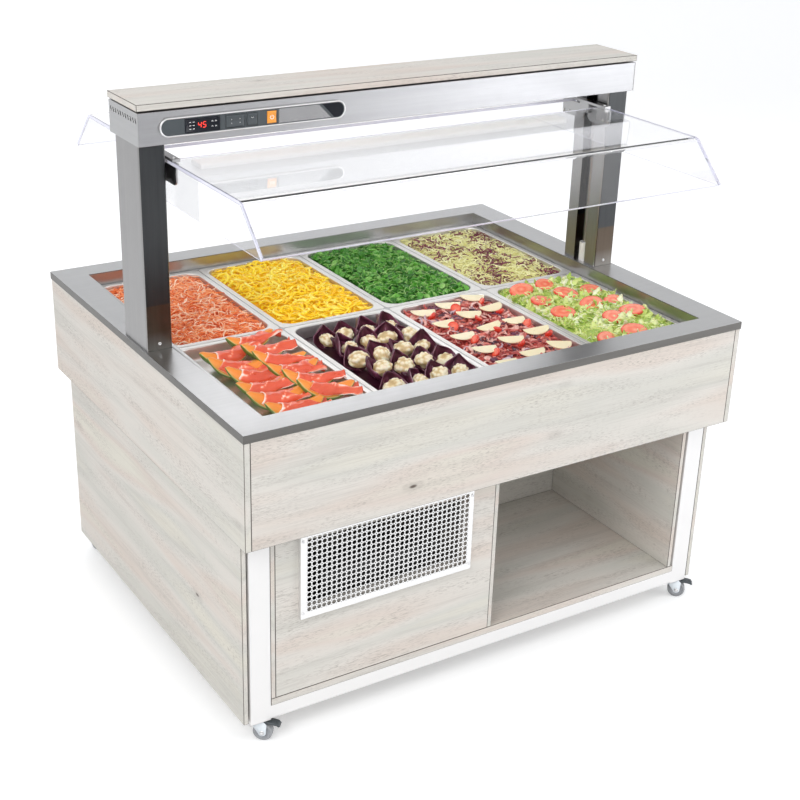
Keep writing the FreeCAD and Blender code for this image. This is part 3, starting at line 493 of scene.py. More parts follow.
def stretched(tree: Tree, place: bpy.types.NodeSocket, along: Axis, fine: float,
              stretch: float) -> bpy.types.NodeSocket:
    """Object coordinates scaled so that a noise becomes lines along one axis."""
    scale = tuple(fine / stretch if part else fine for part in along.value)
    return tree.add("ShaderNodeMapping", {"Vector": place, "Scale": scale}).outputs["Vector"]


def bumped(tree: Tree, shader: bpy.types.Node, height: bpy.types.NodeSocket, distance: float,
           strength: float) -> None:
    """Bump from a height socket into the shader's normal."""
    bump = tree.add("ShaderNodeBump", {"Height": height, "Distance": distance, "Strength": strength})
    tree.links.new(bump.outputs["Normal"], shader.inputs["Normal"])


def shown(tree: Tree) -> bpy.types.NodeSocket:
    """One for rays from the camera, mirrors and clear pieces, zero for light that falls on other things."""
    path = tree.add("ShaderNodeLightPath")
    seen = tree.add("ShaderNodeMath", {0: path.outputs["Is Camera Ray"], 1: path.outputs["Is Glossy Ray"]},
                    operation="MAXIMUM")
    return tree.add("ShaderNodeMath", {0: seen.outputs[0], 1: path.outputs["Is Transmission Ray"]},
                    operation="MAXIMUM").outputs[0]


@dataclass(frozen=True)
class BrushedSteel:
    """Stainless sheet with brush lines along one axis."""

    name: str
    along: Axis = Axis.X
    dark: Colour = (0.38, 0.38, 0.385)
    light: Colour = (0.50, 0.50, 0.50)
    smooth: float = 0.24
    rough: float = 0.40
    fine: float = 900.0
    # Painted reflection: colour stops by height that multiply the steel's colour.
    rise: tuple[tuple[float, Colour], ...] = ()

    def build(self) -> bpy.types.Material:
        """The finish as a material: streaks drive colour, roughness and bump; the rise, a painted reflection,
        tints it by height.
        """
        material, tree, shader, place = material_tree(self.name)
        lines = tree.add("ShaderNodeGroup", node_tree=streaks())
        tree.links.new(stretched(tree, place, self.along, self.fine, 60.0), lines.inputs["Vector"])
        marks = tree.add("ShaderNodeGroup", node_tree=smudges())
        tree.links.new(place, marks.inputs["Vector"])
        colour = tree.mix(lines.outputs["Value"], self.dark, self.light)
        # Painted reflection: bands of colour by height, multiplied onto the brushed colour.
        if self.rise:
            height = tree.add("ShaderNodeSeparateXYZ",
                              {0: tree.nodes["Texture Coordinate"].outputs["Object"]})
            tint = tree.ramp(height.outputs["Z"], list(self.rise))
            both = tree.add("ShaderNodeVectorMath", {0: colour, 1: tint}, operation="MULTIPLY")
            colour = both.outputs[0]
        tree.links.new(colour, shader.inputs["Base Color"])
        spread = tree.add("ShaderNodeMath", {0: lines.outputs["Value"], 1: marks.outputs["Value"]},
                          operation="ADD")
        half = tree.add("ShaderNodeMath", {0: spread.outputs[0], 1: 0.5}, operation="MULTIPLY")
        tree.links.new(tree.span(half.outputs[0], self.smooth, self.rough), shader.inputs["Roughness"])
        shader.inputs["Metallic"].default_value = 1.0
        bumped(tree, shader, lines.outputs["Height"], 0.0002, 0.12)
        return material


@dataclass(frozen=True)
class Laminate:
    """Whitewashed pine laminate: rosy, grey and cream patches along the grain, dark pores, a few knots."""

    name: str
    along: Axis = Axis.X
    pale: Colour = (0.70, 0.665, 0.615)
    rosy: Colour = (0.685, 0.61, 0.55)
    grey: Colour = (0.635, 0.62, 0.57)
    cream: Colour = (0.71, 0.68, 0.60)
    pore: Colour = (0.30, 0.265, 0.235)
    knot: Colour = (0.085, 0.060, 0.046)

    def build(self) -> bpy.types.Material:
        """The finish as a material: stretched noises make patches, lines and pores, Voronoi cells make knots.

        Each board's tone shifts the pattern, so that the grain breaks off from board to board.

        Returns:
            The material.
        """
        material, tree, shader, place = material_tree(self.name)
        tone = tree.add("ShaderNodeAttribute", attribute_name="tone").outputs["Fac"]
        away = tree.add("ShaderNodeVectorMath", {0: (5.3, 7.1, 3.7), "Scale": tone}, operation="SCALE")
        place = tree.add("ShaderNodeVectorMath", {0: place, 1: away.outputs[0]}, operation="ADD").outputs[0]

        def noise(fine: float, stretch: float, detail: float,
                  distortion: float = 0.0) -> bpy.types.NodeSocket:
            """Noise drawn out along the grain."""
            where = stretched(tree, place, self.along, fine, stretch)
            return tree.add("ShaderNodeTexNoise", {"Vector": where, "Scale": 1.0, "Detail": detail,
                                                   "Distortion": distortion}).outputs["Fac"]

        patches = tree.ramp(noise(9.0, 8.0, 1.5, 0.2), [(0.28, self.cream), (0.40, self.rosy),
                                                        (0.50, self.pale), (0.60, self.grey),
                                                        (0.74, self.cream)])
        lines = tree.add("ShaderNodeGroup", node_tree=streaks())
        tree.links.new(stretched(tree, place, self.along, 330.0, 40.0), lines.inputs["Vector"])
        bare, full = (0.0, 0.0, 0.0), (1.0, 1.0, 1.0)
        line_mask = tree.ramp(lines.outputs["Value"], [(0.36, (0.20, 0.20, 0.20)), (0.52, bare)])
        pore_mask = tree.ramp(noise(640.0, 9.0, 2.0), [(0.38, full), (0.46, bare)])
        where_pores = tree.ramp(noise(26.0, 6.0, 3.0), [(0.44, (0.06, 0.06, 0.06)),
                                                        (0.64, (0.50, 0.50, 0.50))])
        pores = tree.mix(pore_mask, bare, where_pores)
        cells = stretched(tree, place, self.along, 6.5, 2.4)
        cell = tree.add("ShaderNodeTexVoronoi", {"Vector": cells, "Scale": 1.0, "Randomness": 1.0})
        spots = tree.ramp(cell.outputs["Distance"], [(0.0, full), (0.020, (0.85, 0.85, 0.85)), (0.036, bare)])
        halo = tree.ramp(cell.outputs["Distance"], [(0.03, (0.30, 0.30, 0.30)), (0.11, bare)])
        colour = tree.mix(line_mask, patches, self.pore)
        colour = tree.mix(halo, tree.mix(pores, colour, self.pore), self.pore)
        tree.links.new(tree.mix(spots, colour, self.knot), shader.inputs["Base Color"])
        tree.links.new(tree.span(lines.outputs["Value"], 0.46, 0.66), shader.inputs["Roughness"])
        shader.inputs["Specular IOR Level"].default_value = 0.3
        bumped(tree, shader, lines.outputs["Height"], 0.0003, 0.25)
        return material


@dataclass(frozen=True)
class Coating:
    """Paint, plastic, rubber or plated metal: one colour family with smudges and a fine texture."""

    name: str
    low: Colour
    high: Colour
    smooth: float = 0.35
    rough: float = 0.55
    metal: float = 0.0
    texture: float = 900.0
    relief: float = 0.00008
    coat: float = 0.0
    # Light given off: real on the lamp, the display figures and the power rocker; painted light on the
    # acrylic edges and the white signs.
    glow: float = 0.0
    shine: float = 0.5

    def build(self) -> bpy.types.Material:
        """The finish as a material."""
        material, tree, shader, place = material_tree(self.name)
        marks = tree.add("ShaderNodeGroup", node_tree=smudges())
        tree.links.new(place, marks.inputs["Vector"])
        colour = tree.mix(marks.outputs["Value"], self.low, self.high)
        tree.links.new(colour, shader.inputs["Base Color"])
        tree.links.new(tree.span(marks.outputs["Value"], self.smooth, self.rough), shader.inputs["Roughness"])
        shader.inputs["Metallic"].default_value = self.metal
        shader.inputs["Coat Weight"].default_value = self.coat
        shader.inputs["Specular IOR Level"].default_value = self.shine
        grains = tree.add("ShaderNodeTexNoise", {"Vector": place, "Scale": self.texture, "Detail": 2.0})
        bumped(tree, shader, grains.outputs["Fac"], self.relief, 0.3)
        if self.glow:
            tree.links.new(colour, shader.inputs["Emission Color"])
            shader.inputs["Emission Strength"].default_value = self.glow
        return material


@dataclass(frozen=True)
class Acrylic:
    """Clear sheet: transmissive with a faint cool tint and slightly cloudy roughness."""

    name: str
    tint: Colour = (0.965, 0.965, 0.985)
    smooth: float = 0.0
    rough: float = 0.03

    def build(self) -> bpy.types.Material:
        """The finish as a material: glass whose shadow stays clear."""
        material, tree, shader, place = material_tree(self.name)
        marks = tree.add("ShaderNodeGroup", node_tree=smudges())
        tree.links.new(place, marks.inputs["Vector"])
        colour = tree.mix(marks.outputs["Value"], self.tint, (1.0, 1.0, 1.0))
        tree.links.new(colour, shader.inputs["Base Color"])
        tree.links.new(tree.span(marks.outputs["Value"], self.smooth, self.rough), shader.inputs["Roughness"])
        shader.inputs["IOR"].default_value = 1.49
        shader.inputs["Transmission Weight"].default_value = 1.0
        clear = tree.add("ShaderNodeBsdfTransparent", {"Color": (0.97, 0.97, 0.98, 1.0)})
        path = tree.add("ShaderNodeLightPath")
        both = tree.add("ShaderNodeMixShader", {0: path.outputs["Is Shadow Ray"], 1: shader.outputs[0],
                                                2: clear.outputs[0]})
        tree.links.new(both.outputs[0], tree.nodes["Material Output"].inputs["Surface"])
        return material


@dataclass(frozen=True)
class Paper:
    """Studio floor: takes the object's shadow, and is lifted to white where it is seen or mirrored."""

    name: str
    shade: Colour = (0.86, 0.86, 0.86)
    lift: float = 0.30

    def build(self) -> bpy.types.Material:
        """The finish as a material: an even glow that only camera and mirror rays find."""
        material, tree, shader, _ = material_tree(self.name)
        shader.inputs["Base Color"].default_value = (*self.shade, 1.0)
        shader.inputs["Roughness"].default_value = 0.8
        glow = tree.add("ShaderNodeMath", {0: shown(tree), 1: self.lift}, operation="MULTIPLY")
        shader.inputs["Emission Color"].default_value = (1.0, 1.0, 1.0, 1.0)
        tree.links.new(glow.outputs[0], shader.inputs["Emission Strength"])
        return material


@dataclass(frozen=True)
class Produce:
    """Food: colour follows each piece's tone plus marbling, with a moist surface, fine relief and a faint
    glow that is painted light.
    """

    name: str
    stops: tuple[tuple[float, Colour], ...]
    marble: float = 0.25
    scale: Colour = (70.0, 70.0, 70.0)
    smooth: float = 0.30
    rough: float = 0.55
    relief: float = 0.0004
    # Painted light: the food glows faintly in its own colour.
    glow: float = 0.10
    inner: float = 0.0
    wet: float = 0.10

    def build(self) -> bpy.types.Material:
        """The finish as a material: tone plus noise runs through a colour ramp."""
        material, tree, shader, place = material_tree(self.name)
        tone = tree.add("ShaderNodeAttribute", attribute_name="tone").outputs["Fac"]
        where = tree.add("ShaderNodeMapping", {"Vector": place, "Scale": self.scale}).outputs["Vector"]
        noise = tree.add("ShaderNodeTexNoise", {"Vector": where, "Scale": 1.0, "Detail": 4.0,
                                                "Roughness": 0.6, "Distortion": 0.5})
        swing = tree.span(noise.outputs["Fac"], -self.marble, self.marble)
        both = tree.add("ShaderNodeMath", {0: tone, 1: swing}, operation="ADD", use_clamp=True)
        colour = tree.ramp(both.outputs[0], self.stops)
        tree.links.new(colour, shader.inputs["Base Color"])
        # Painted light: an emission in the food's own colour brightens it.
        tree.links.new(colour, shader.inputs["Emission Color"])
        shader.inputs["Emission Strength"].default_value = self.glow
        tree.links.new(tree.span(noise.outputs["Fac"], self.smooth, self.rough), shader.inputs["Roughness"])
        shader.inputs["Coat Weight"].default_value = self.wet
        shader.inputs["Subsurface Weight"].default_value = self.inner
        shader.inputs["Subsurface Scale"].default_value = 0.004
        bumped(tree, shader, noise.outputs["Fac"], self.relief, 0.5)
        return material


# ---- frame and finishes ------------------------------------------------------------------------------------


class Finish(Enum):
    """The finishes that pieces are dressed in."""

    STEEL_X = BrushedSteel("steel_x", Axis.X)
    STEEL_Y = BrushedSteel("steel_y", Axis.Y)
    STEEL_Z = BrushedSteel("steel_z", Axis.Z, dark=(0.26, 0.255, 0.255), light=(0.38, 0.375, 0.375))
    # Posts: darker steel as painted shade, with painted reflections by height: pale at the worktop, warm just
    # above it, darker towards the top.
    STEEL_POST = BrushedSteel("steel_post_painted_light", Axis.Z, dark=(0.17, 0.17, 0.17), light=(0.27, 0.27, 0.27),
                              rise=((0.88, (1.0, 0.95, 0.88)), (0.93, (0.48, 0.38, 0.30)),
                                    (1.02, (0.40, 0.31, 0.24)), (1.12, (0.50, 0.46, 0.42)),
                                    (1.26, (0.42, 0.42, 0.42)), (1.42, (0.25, 0.26, 0.27))))
    STEEL_BEAM = BrushedSteel("steel_beam", Axis.X, dark=(0.30, 0.30, 0.31), light=(0.43, 0.43, 0.44))
    # Darker copy of the worktop's steel for its folded edges: painted shade.
    STEEL_FOLD = BrushedSteel("steel_fold_painted_shade", Axis.X, dark=(0.10, 0.095, 0.09), light=(0.19, 0.185, 0.175))
    STEEL_SHEET = BrushedSteel("steel_sheet", Axis.X, dark=(0.80, 0.80, 0.80), light=(0.90, 0.90, 0.90),
                               smooth=0.35, rough=0.50)
    PAN = BrushedSteel("pan_steel", Axis.Y, dark=(0.25, 0.25, 0.255), light=(0.36, 0.36, 0.36), smooth=0.16,
                       rough=0.34, fine=500.0)
    WOOD_X = Laminate("wood_x", Axis.X)
    WOOD_Y = Laminate("wood_y", Axis.Y)
    ACRYLIC = Acrylic("acrylic")
    # Cut edges of the acrylic: opaque, pale and glowing, painted light in place of the light the polished
    # edges catch.
    ACRYLIC_EDGE = Coating("acrylic_edge_painted_glow", (0.66, 0.66, 0.78), (0.78, 0.78, 0.88), 0.12, 0.25, coat=0.3,
                           glow=0.12)
    JOINT = Coating("board_joint", (0.085, 0.075, 0.065), (0.14, 0.125, 0.11), 0.5, 0.7)
    FOAM = Coating("foam", (0.74, 0.66, 0.40), (0.82, 0.75, 0.50), 0.8, 0.95, texture=300.0, relief=0.0005)
    GREY = Coating("grey_coating", (0.44, 0.435, 0.425), (0.53, 0.525, 0.515), 0.32, 0.48, metal=0.5)
    GALVANISED = Coating("galvanised", (0.40, 0.41, 0.43), (0.55, 0.56, 0.58), 0.35, 0.6, metal=1.0,
                         texture=60.0)
    BLACK = Coating("black_coating", (0.010, 0.010, 0.011), (0.022, 0.022, 0.024), 0.4, 0.6)
    FINS = Coating("aluminium_fins", (0.55, 0.56, 0.57), (0.70, 0.71, 0.72), 0.3, 0.5, metal=1.0)
    DARK = Coating("dark_plastic", (0.012, 0.014, 0.020), (0.022, 0.025, 0.033), 0.22, 0.36, shine=0.12)
    BEZEL = Coating("satin_bezel", (0.56, 0.57, 0.58), (0.66, 0.67, 0.68), 0.2, 0.32, metal=1.0)
    AMBER = Coating("amber_plastic", (0.80, 0.14, 0.012), (0.90, 0.22, 0.03), 0.2, 0.3, coat=0.4, glow=0.25)
    LAMP = Coating("lamp_white", (0.80, 0.80, 0.77), (0.86, 0.86, 0.83), 0.4, 0.6, glow=0.4)
    TYRE = Coating("grey_tyre", (0.095, 0.10, 0.11), (0.15, 0.155, 0.165), 0.5, 0.72, texture=1500.0)
    GREY_HUB = Coating("grey_hub", (0.30, 0.31, 0.33), (0.38, 0.39, 0.41), 0.4, 0.55)
    ZINC = Coating("zinc", (0.50, 0.56, 0.62), (0.68, 0.73, 0.78), 0.22, 0.42, metal=0.9)
    # White signs on the rockers and the display; their glow is painted light.
    ICON = Coating("icon_white", (0.70, 0.71, 0.72), (0.80, 0.80, 0.81), 0.4, 0.5, glow=0.35)
    DIGIT = Coating("digit_red", (0.75, 0.02, 0.015), (0.95, 0.05, 0.03), 0.4, 0.5, glow=1.4)
    SCREEN = Coating("screen_glass", (0.008, 0.010, 0.015), (0.014, 0.016, 0.023), 0.08, 0.16, shine=0.2)
    PANEL_GREY = Coating("panel_dots", (0.10, 0.105, 0.115), (0.15, 0.155, 0.165), 0.35, 0.5, texture=700.0,
                         relief=0.0004)
    # Painted highlight: the carrot ramp's palest stop, given to strips at random; the glow is painted light.
    CARROT = Produce("carrot", ((0.0, (0.42, 0.040, 0.006)), (0.35, (0.82, 0.16, 0.028)),
                                (0.65, (0.94, 0.36, 0.13)), (1.0, (0.97, 0.74, 0.56))), glow=0.12)
    # Painted shadow and highlight: the yellow ramp runs from a shadow orange to a pale highlight, given to
    # strips at random; the glow is painted light.
    PASTA = Produce("yellow_strips", ((0.0, (0.55, 0.20, 0.001)), (0.30, (0.90, 0.53, 0.003)),
                                      (0.70, (0.98, 0.72, 0.010)), (1.0, (0.98, 0.86, 0.16))), glow=0.12)
    # The palest green serves the pale stalks and midribs, and on leaves with a high tone it is a painted
    # highlight.
    CRESS = Produce("small_leaves", ((0.0, (0.012, 0.070, 0.006)), (0.40, (0.050, 0.235, 0.020)),
                                     (0.70, (0.13, 0.40, 0.048)), (1.0, (0.48, 0.68, 0.26))))
    CABBAGE = Produce("cut_cabbage", ((0.0, (0.11, 0.010, 0.032)), (0.30, (0.27, 0.030, 0.085)),
                                      (0.38, (0.60, 0.54, 0.22)), (0.68, (0.80, 0.78, 0.33)),
                                      (1.0, (0.92, 0.91, 0.62))), marble=0.12)
    LETTUCE = Produce("lettuce", ((0.0, (0.20, 0.36, 0.050)), (0.40, (0.48, 0.62, 0.13)),
                                  (0.70, (0.72, 0.79, 0.30)), (1.0, (0.88, 0.90, 0.64))), inner=0.1)
    TOMATO = Produce("tomato", ((0.0, (0.58, 0.020, 0.010)), (0.35, (0.78, 0.085, 0.045)),
                                (0.65, (0.88, 0.22, 0.13)), (1.0, (0.92, 0.50, 0.33))), smooth=0.12,
                     rough=0.3, wet=0.4, inner=0.1)
    CHEESE = Produce("cream_slices", ((0.0, (0.74, 0.60, 0.34)), (0.6, (0.84, 0.74, 0.49)),
                                      (1.0, (0.88, 0.80, 0.58))), marble=0.15, inner=0.1)
    SHAVED = Produce("pink_slices", ((0.0, (0.24, 0.018, 0.018)), (0.40, (0.50, 0.075, 0.060)),
                                     (0.65, (0.68, 0.20, 0.16)), (1.0, (0.84, 0.56, 0.50))), marble=0.4,
                     scale=(110.0, 110.0, 110.0))
    RADICCHIO = Produce("dark_leaves", ((0.0, (0.022, 0.003, 0.010)), (0.40, (0.070, 0.010, 0.028)),
                                        (0.70, (0.17, 0.040, 0.085)), (1.0, (0.66, 0.50, 0.56))), marble=0.3,
                        smooth=0.22, rough=0.42, relief=0.0008, wet=0.3)
    # Cauliflower: the brown low stop is painted shade in the hollows between buds.
    CURD = Produce("cauliflower", ((0.0, (0.36, 0.20, 0.065)), (0.35, (0.66, 0.50, 0.26)),
                                   (0.65, (0.84, 0.75, 0.54)), (1.0, (0.88, 0.82, 0.66))), marble=0.2,
                   scale=(160.0, 160.0, 160.0), relief=0.0008, inner=0.1)
    MELON = Produce("melon", ((0.0, (0.085, 0.17, 0.022)), (0.14, (0.16, 0.26, 0.045)),
                              (0.20, (0.62, 0.60, 0.26)), (0.32, (0.84, 0.36, 0.060)),
                              (1.0, (0.86, 0.25, 0.030))), marble=0.05, inner=0.15, wet=0.25)
    HAM = Produce("cured_ham", ((0.0, (0.62, 0.060, 0.022)), (0.42, (0.80, 0.125, 0.055)),
                                (0.62, (0.88, 0.26, 0.15)), (0.76, (0.93, 0.62, 0.52)),
                                (1.0, (0.95, 0.82, 0.76))), marble=0.38, scale=(24.0, 55.0, 55.0), smooth=0.2,
                  rough=0.4, wet=0.3, inner=0.1)

    @property
    def material(self) -> bpy.types.Material:
        """The finish's material, built at its first use."""
        made = bpy.data.materials.get(self.value.name)
        return made if made else self.value.build()


@dataclass
class Model:
    """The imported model: its nodes, bodies and boxes."""

    frame: dict

    def low(self, node: str) -> Array:
        """Lowest corner of a node at rest."""
        return np.array(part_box(node)[0])

    def high(self, node: str) -> Array:
        """Highest corner of a node at rest."""
        return np.array(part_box(node)[1])

    def middle(self, node: str) -> Array:
        """Middle of a node's box."""
        return (self.low(node) + self.high(node)) / 2

    def body_of(self, node: str) -> str:
        """Body that a node belongs to."""
        bodies = self.frame["record"]["behaviour"]["bodies"]
        return next(body for body, nodes in bodies.items() if node in nodes)

    def dress(self, node: str, finish: Finish) -> None:
        """Gives a node of the solid model a finish and leaves its shape alone."""
        mesh = self.frame["nodes"][node].data
        mesh.materials.clear()
        mesh.materials.append(finish.material)
        LOG.info("dressed %s in %s", node, finish.name)

    def soften(self, node: str, finish: Finish, edge: float, segments: int = 2,
               cut_finish: Finish | None = None, facing: int = 0,
               line_finish: Finish | None = None) -> bpy.types.Object:
        """Stands a merged copy of a node in its place, with rounded edges.

        Args:
            node: the solid model's node.
            finish: its finish.
            edge: width of the rounded edges, in metres.
            segments: steps across an edge.
            cut_finish: finish of the faces that don't look along the facing axis, as on a sheet's cut edges.
            facing: number of the axis along which the sheet's faces look.
            line_finish: finish of the rounded edges themselves, as where two laminates meet.

        Returns:
            The new piece.
        """
        mesh = self.frame["nodes"][node].data.copy()
        work = bmesh.new()
        work.from_mesh(mesh)
        bmesh.ops.remove_doubles(work, verts=work.verts, dist=MERGE)
        flat = [e for e in work.edges if len(e.link_faces) == 2 and e.calc_face_angle(1.0) < FLAT]
        bmesh.ops.dissolve_edges(work, edges=flat, use_verts=False)
        corners = [v for v in work.verts if len(v.link_edges) == 2]
        bmesh.ops.dissolve_verts(work, verts=[v for v in corners if v.calc_edge_angle(0.0) < FLAT])
        bmesh.ops.triangulate(work, faces=[f for f in work.faces if len(f.verts) > 4])
        work.to_mesh(mesh)
        work.free()
        mesh.materials.clear()
        mesh.materials.append(finish.material)
        if cut_finish:
            mesh.materials.append(cut_finish.material)
            normals = np.empty(len(mesh.polygons) * 3)
            mesh.polygons.foreach_get("normal", normals)
            cut = (np.abs(normals.reshape(-1, 3)[:, facing]) < 0.5).astype(np.int32)
            mesh.polygons.foreach_set("material_index", cut)
        shift = list(self.frame["nodes"]).index(node) * 0.37 % 1
        tone = mesh.attributes.new("tone", "FLOAT", "POINT")
        tone.data.foreach_set("value", np.full(len(mesh.vertices), shift, np.float32))
        piece = bpy.data.objects.new("look_" + node, mesh)
        bpy.context.scene.collection.objects.link(piece)
        finish_edges(piece, edge, segments)
        if line_finish:
            mesh.materials.append(line_finish.material)
            piece.modifiers["edge"].material = len(mesh.materials) - 1
        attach(piece, self.body_of(node))
        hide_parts(node)
        LOG.info("softened %s: %d faces", node, len(mesh.polygons))
        return piece


# ---- studio ------------------------------------------------------------------------------------------------


@dataclass
class Studio:
    """Pale sweep, soft lights and the camera of the photograph."""

    eye: tuple[float, float, float] = (-1.98684, -3.16821, 2.25117)
    yaw: float = math.radians(32.7707)
    pitch: float = math.radians(24.244)
    roll: float = math.radians(1.847)
    focal: float = 1442.806
    picture: int = 800
    sensor: float = 36.0
    sweep_start: float = 4.2
    sweep_round: float = 2.5
    sweep_half: float = 9.0
    wall_rise: float = 7.0
    background: Colour = (1.0, 1.0, 1.0)
    sky: Colour = (0.95, 0.97, 1.0)
    sky_strength: float = 0.78

    def camera(self) -> None:
        """Camera turned by its yaw from +Y towards +X, its downward pitch and its roll.

        The lens is the focal length in pixels times the sensor width over the picture width.
        """
        sy, cy, sp, cp = math.sin(self.yaw), math.cos(self.yaw), math.sin(self.pitch), math.cos(self.pitch)
        forward = np.array([sy * cp, cy * cp, -sp])
        right = np.array([cy, -sy, 0.0])
        up = np.cross(right, forward)
        turned_right = right * math.cos(self.roll) + up * math.sin(self.roll)
        turned_up = up * math.cos(self.roll) - right * math.sin(self.roll)
        data = bpy.data.cameras.new("camera")
        data.sensor_width, data.lens = self.sensor, self.focal * self.sensor / self.picture
        camera = bpy.data.objects.new("camera", data)
        matrix = np.eye(4)
        matrix[:3] = np.stack([turned_right, turned_up, -forward, self.eye], -1)
        camera.matrix_world = mathutils.Matrix(matrix.tolist())
        bpy.context.scene.collection.objects.link(camera)
        bpy.context.scene.camera = camera

    def sweep(self) -> None:
        """Floor that rises in a quarter circle into a back wall."""
        turn = np.linspace(0, np.pi / 2, 17)
        arc = self.sweep_start + self.sweep_round * np.sin(turn)
        y = np.concatenate([[-self.sweep_half], arc, [self.sweep_start + self.sweep_round]])
        z = np.concatenate([[0.0], self.sweep_round * (1 - np.cos(turn)), [self.wall_rise]])
        x = np.array([-self.sweep_half, self.sweep_half])
        points = np.stack(np.broadcast_arrays(x[:, None], y[None], z[None]), -1)
        surface = grid(points)
        mesh = bpy.data.meshes.new("sweep")
        mesh.from_pydata(surface.points.tolist(), [], surface.polygons[0].tolist())
        mesh.polygons.foreach_set("use_smooth", np.full(len(mesh.polygons), True))
        floor = bpy.data.objects.new("sweep", mesh)
        bpy.context.scene.collection.objects.link(floor)
        mesh.materials.append(Paper("sweep_paper").build())

    def light(self, name: str, place: Sequence[float], aim: Sequence[float], size: Sequence[float],
              power: float, colour: Colour = (1.0, 1.0, 1.0), mirrored: bool = True) -> None:
        """Rectangular soft light at a place, turned towards a point.

        Args:
            name: the light's name.
            place: its position.
            aim: the point it faces.
            size: width and height.
            power: watts.
            colour: its colour.
            mirrored: whether shiny surfaces show it.
        """
        data = bpy.data.lights.new(name, "AREA")
        data.shape, data.size, data.size_y = "RECTANGLE", size[0], size[1]
        data.energy, data.color = power, colour
        lamp = bpy.data.objects.new(name, data)
        lamp.location = place
        lamp.visible_glossy = mirrored
        way = mathutils.Vector(aim) - mathutils.Vector(place)
        lamp.rotation_euler = way.to_track_quat("-Z", "Y").to_euler()
        bpy.context.scene.collection.objects.link(lamp)

    def world(self) -> None:
        """Even pale background for what is seen directly or in a mirror, and dim light from all sides."""
        world = bpy.data.worlds.new("world")
        bpy.context.scene.world = world
        world.use_nodes = True
        tree = Tree(world.node_tree.nodes, world.node_tree.links)
        dim = tree.nodes["Background"]
        dim.inputs["Color"].default_value = (*self.sky, 1.0)
        dim.inputs["Strength"].default_value = self.sky_strength
        pale = tree.add("ShaderNodeBackground", {"Color": (*self.background, 1.0), "Strength": 1.0})
        both = tree.add("ShaderNodeMixShader", {0: shown(tree)})
        tree.links.new(dim.outputs[0], both.inputs[1])
        tree.links.new(pale.outputs[0], both.inputs[2])
        tree.links.new(both.outputs[0], tree.nodes["World Output"].inputs["Surface"])

    def build(self) -> None:
        """Camera, sweep, lights and background."""
        self.camera()
        self.sweep()
        self.light("key", (-3.6, -2.6, 4.0), (0.0, 0.0, 0.8), (2.6, 2.2), 105.0, (1.0, 0.985, 0.96))
        self.light("fill", (3.4, -3.6, 1.6), (0.0, 0.0, 0.5), (2.4, 2.4), 62.0, (0.97, 0.98, 1.0))
        self.light("rear", (1.6, 4.4, 3.4), (0.0, 0.0, 0.9), (4.0, 2.4), 45.0, mirrored=False)
        self.world()
        bpy.context.scene.view_settings.view_transform = "Standard"
        LOG.info("studio ready")


# ---- steel and laminate ------------------------------------------------------------------------------------


@dataclass
class Body:
    """Worktop, aprons, cabinet, posts, beam and shelf: the solid model's pieces with finished edges."""

    model: Model
    steel_edge: float = 0.0012
    wood_edge: float = 0.0013
    tube_edge: float = 0.0022
    steel: dict[str, Finish] = field(default_factory=lambda: {
        "beam": Finish.STEEL_BEAM, "beam_ends": Finish.STEEL_Y,
        "pan_bars": Finish.STEEL_Y, "canopy_brackets": Finish.STEEL_Y})
    wood: dict[str, Finish] = field(default_factory=lambda: {
        "aprons_front_rear": Finish.WOOD_X, "aprons_left_right": Finish.WOOD_Y, "side_panels": Finish.WOOD_Y,
        "inner_panels": Finish.WOOD_Y, "divider": Finish.WOOD_Y, "partition": Finish.WOOD_X,
        "vent_panel": Finish.WOOD_X, "rear_panel": Finish.WOOD_X, "floor_board": Finish.WOOD_X,
        "top_shelf": Finish.WOOD_X})
    hidden: dict[str, Finish] = field(default_factory=lambda: {
        "well_liner": Finish.STEEL_Y, "insulation": Finish.FOAM, "tank_shell": Finish.GALVANISED,
        "condenser": Finish.BLACK, "fan_shroud": Finish.BLACK, "compressor": Finish.BLACK,
        "evaporator": Finish.FINS, "fan_blades": Finish.FINS, "lift_actuators": Finish.GREY,
        "lift_rods": Finish.STEEL_Z, "shelf_spacers": Finish.BLACK, "lamp": Finish.LAMP})

    def build(self) -> None:
        """Softens the visible pieces and dresses the hidden ones."""
        # The worktop's folded edges get a darker copy of its steel as painted shade.
        self.model.soften("worktop", Finish.STEEL_X, self.steel_edge, cut_finish=Finish.STEEL_FOLD, facing=2)
        # The posts' faces that don't look along X get the darker steel with painted shade and painted
        # reflections.
        self.model.soften("posts", Finish.STEEL_Z, self.steel_edge, cut_finish=Finish.STEEL_POST)
        for node, finish in self.steel.items():
            self.model.soften(node, finish, self.steel_edge)
        for node, finish in self.wood.items():
            self.model.soften(node, finish, self.wood_edge, line_finish=Finish.JOINT)
        self.model.soften("base_frame", Finish.GREY, self.tube_edge, 3)
        for node, finish in self.hidden.items():
            self.model.dress(node, finish)


# ---- vent grille -------------------------------------------------------------------------------------------


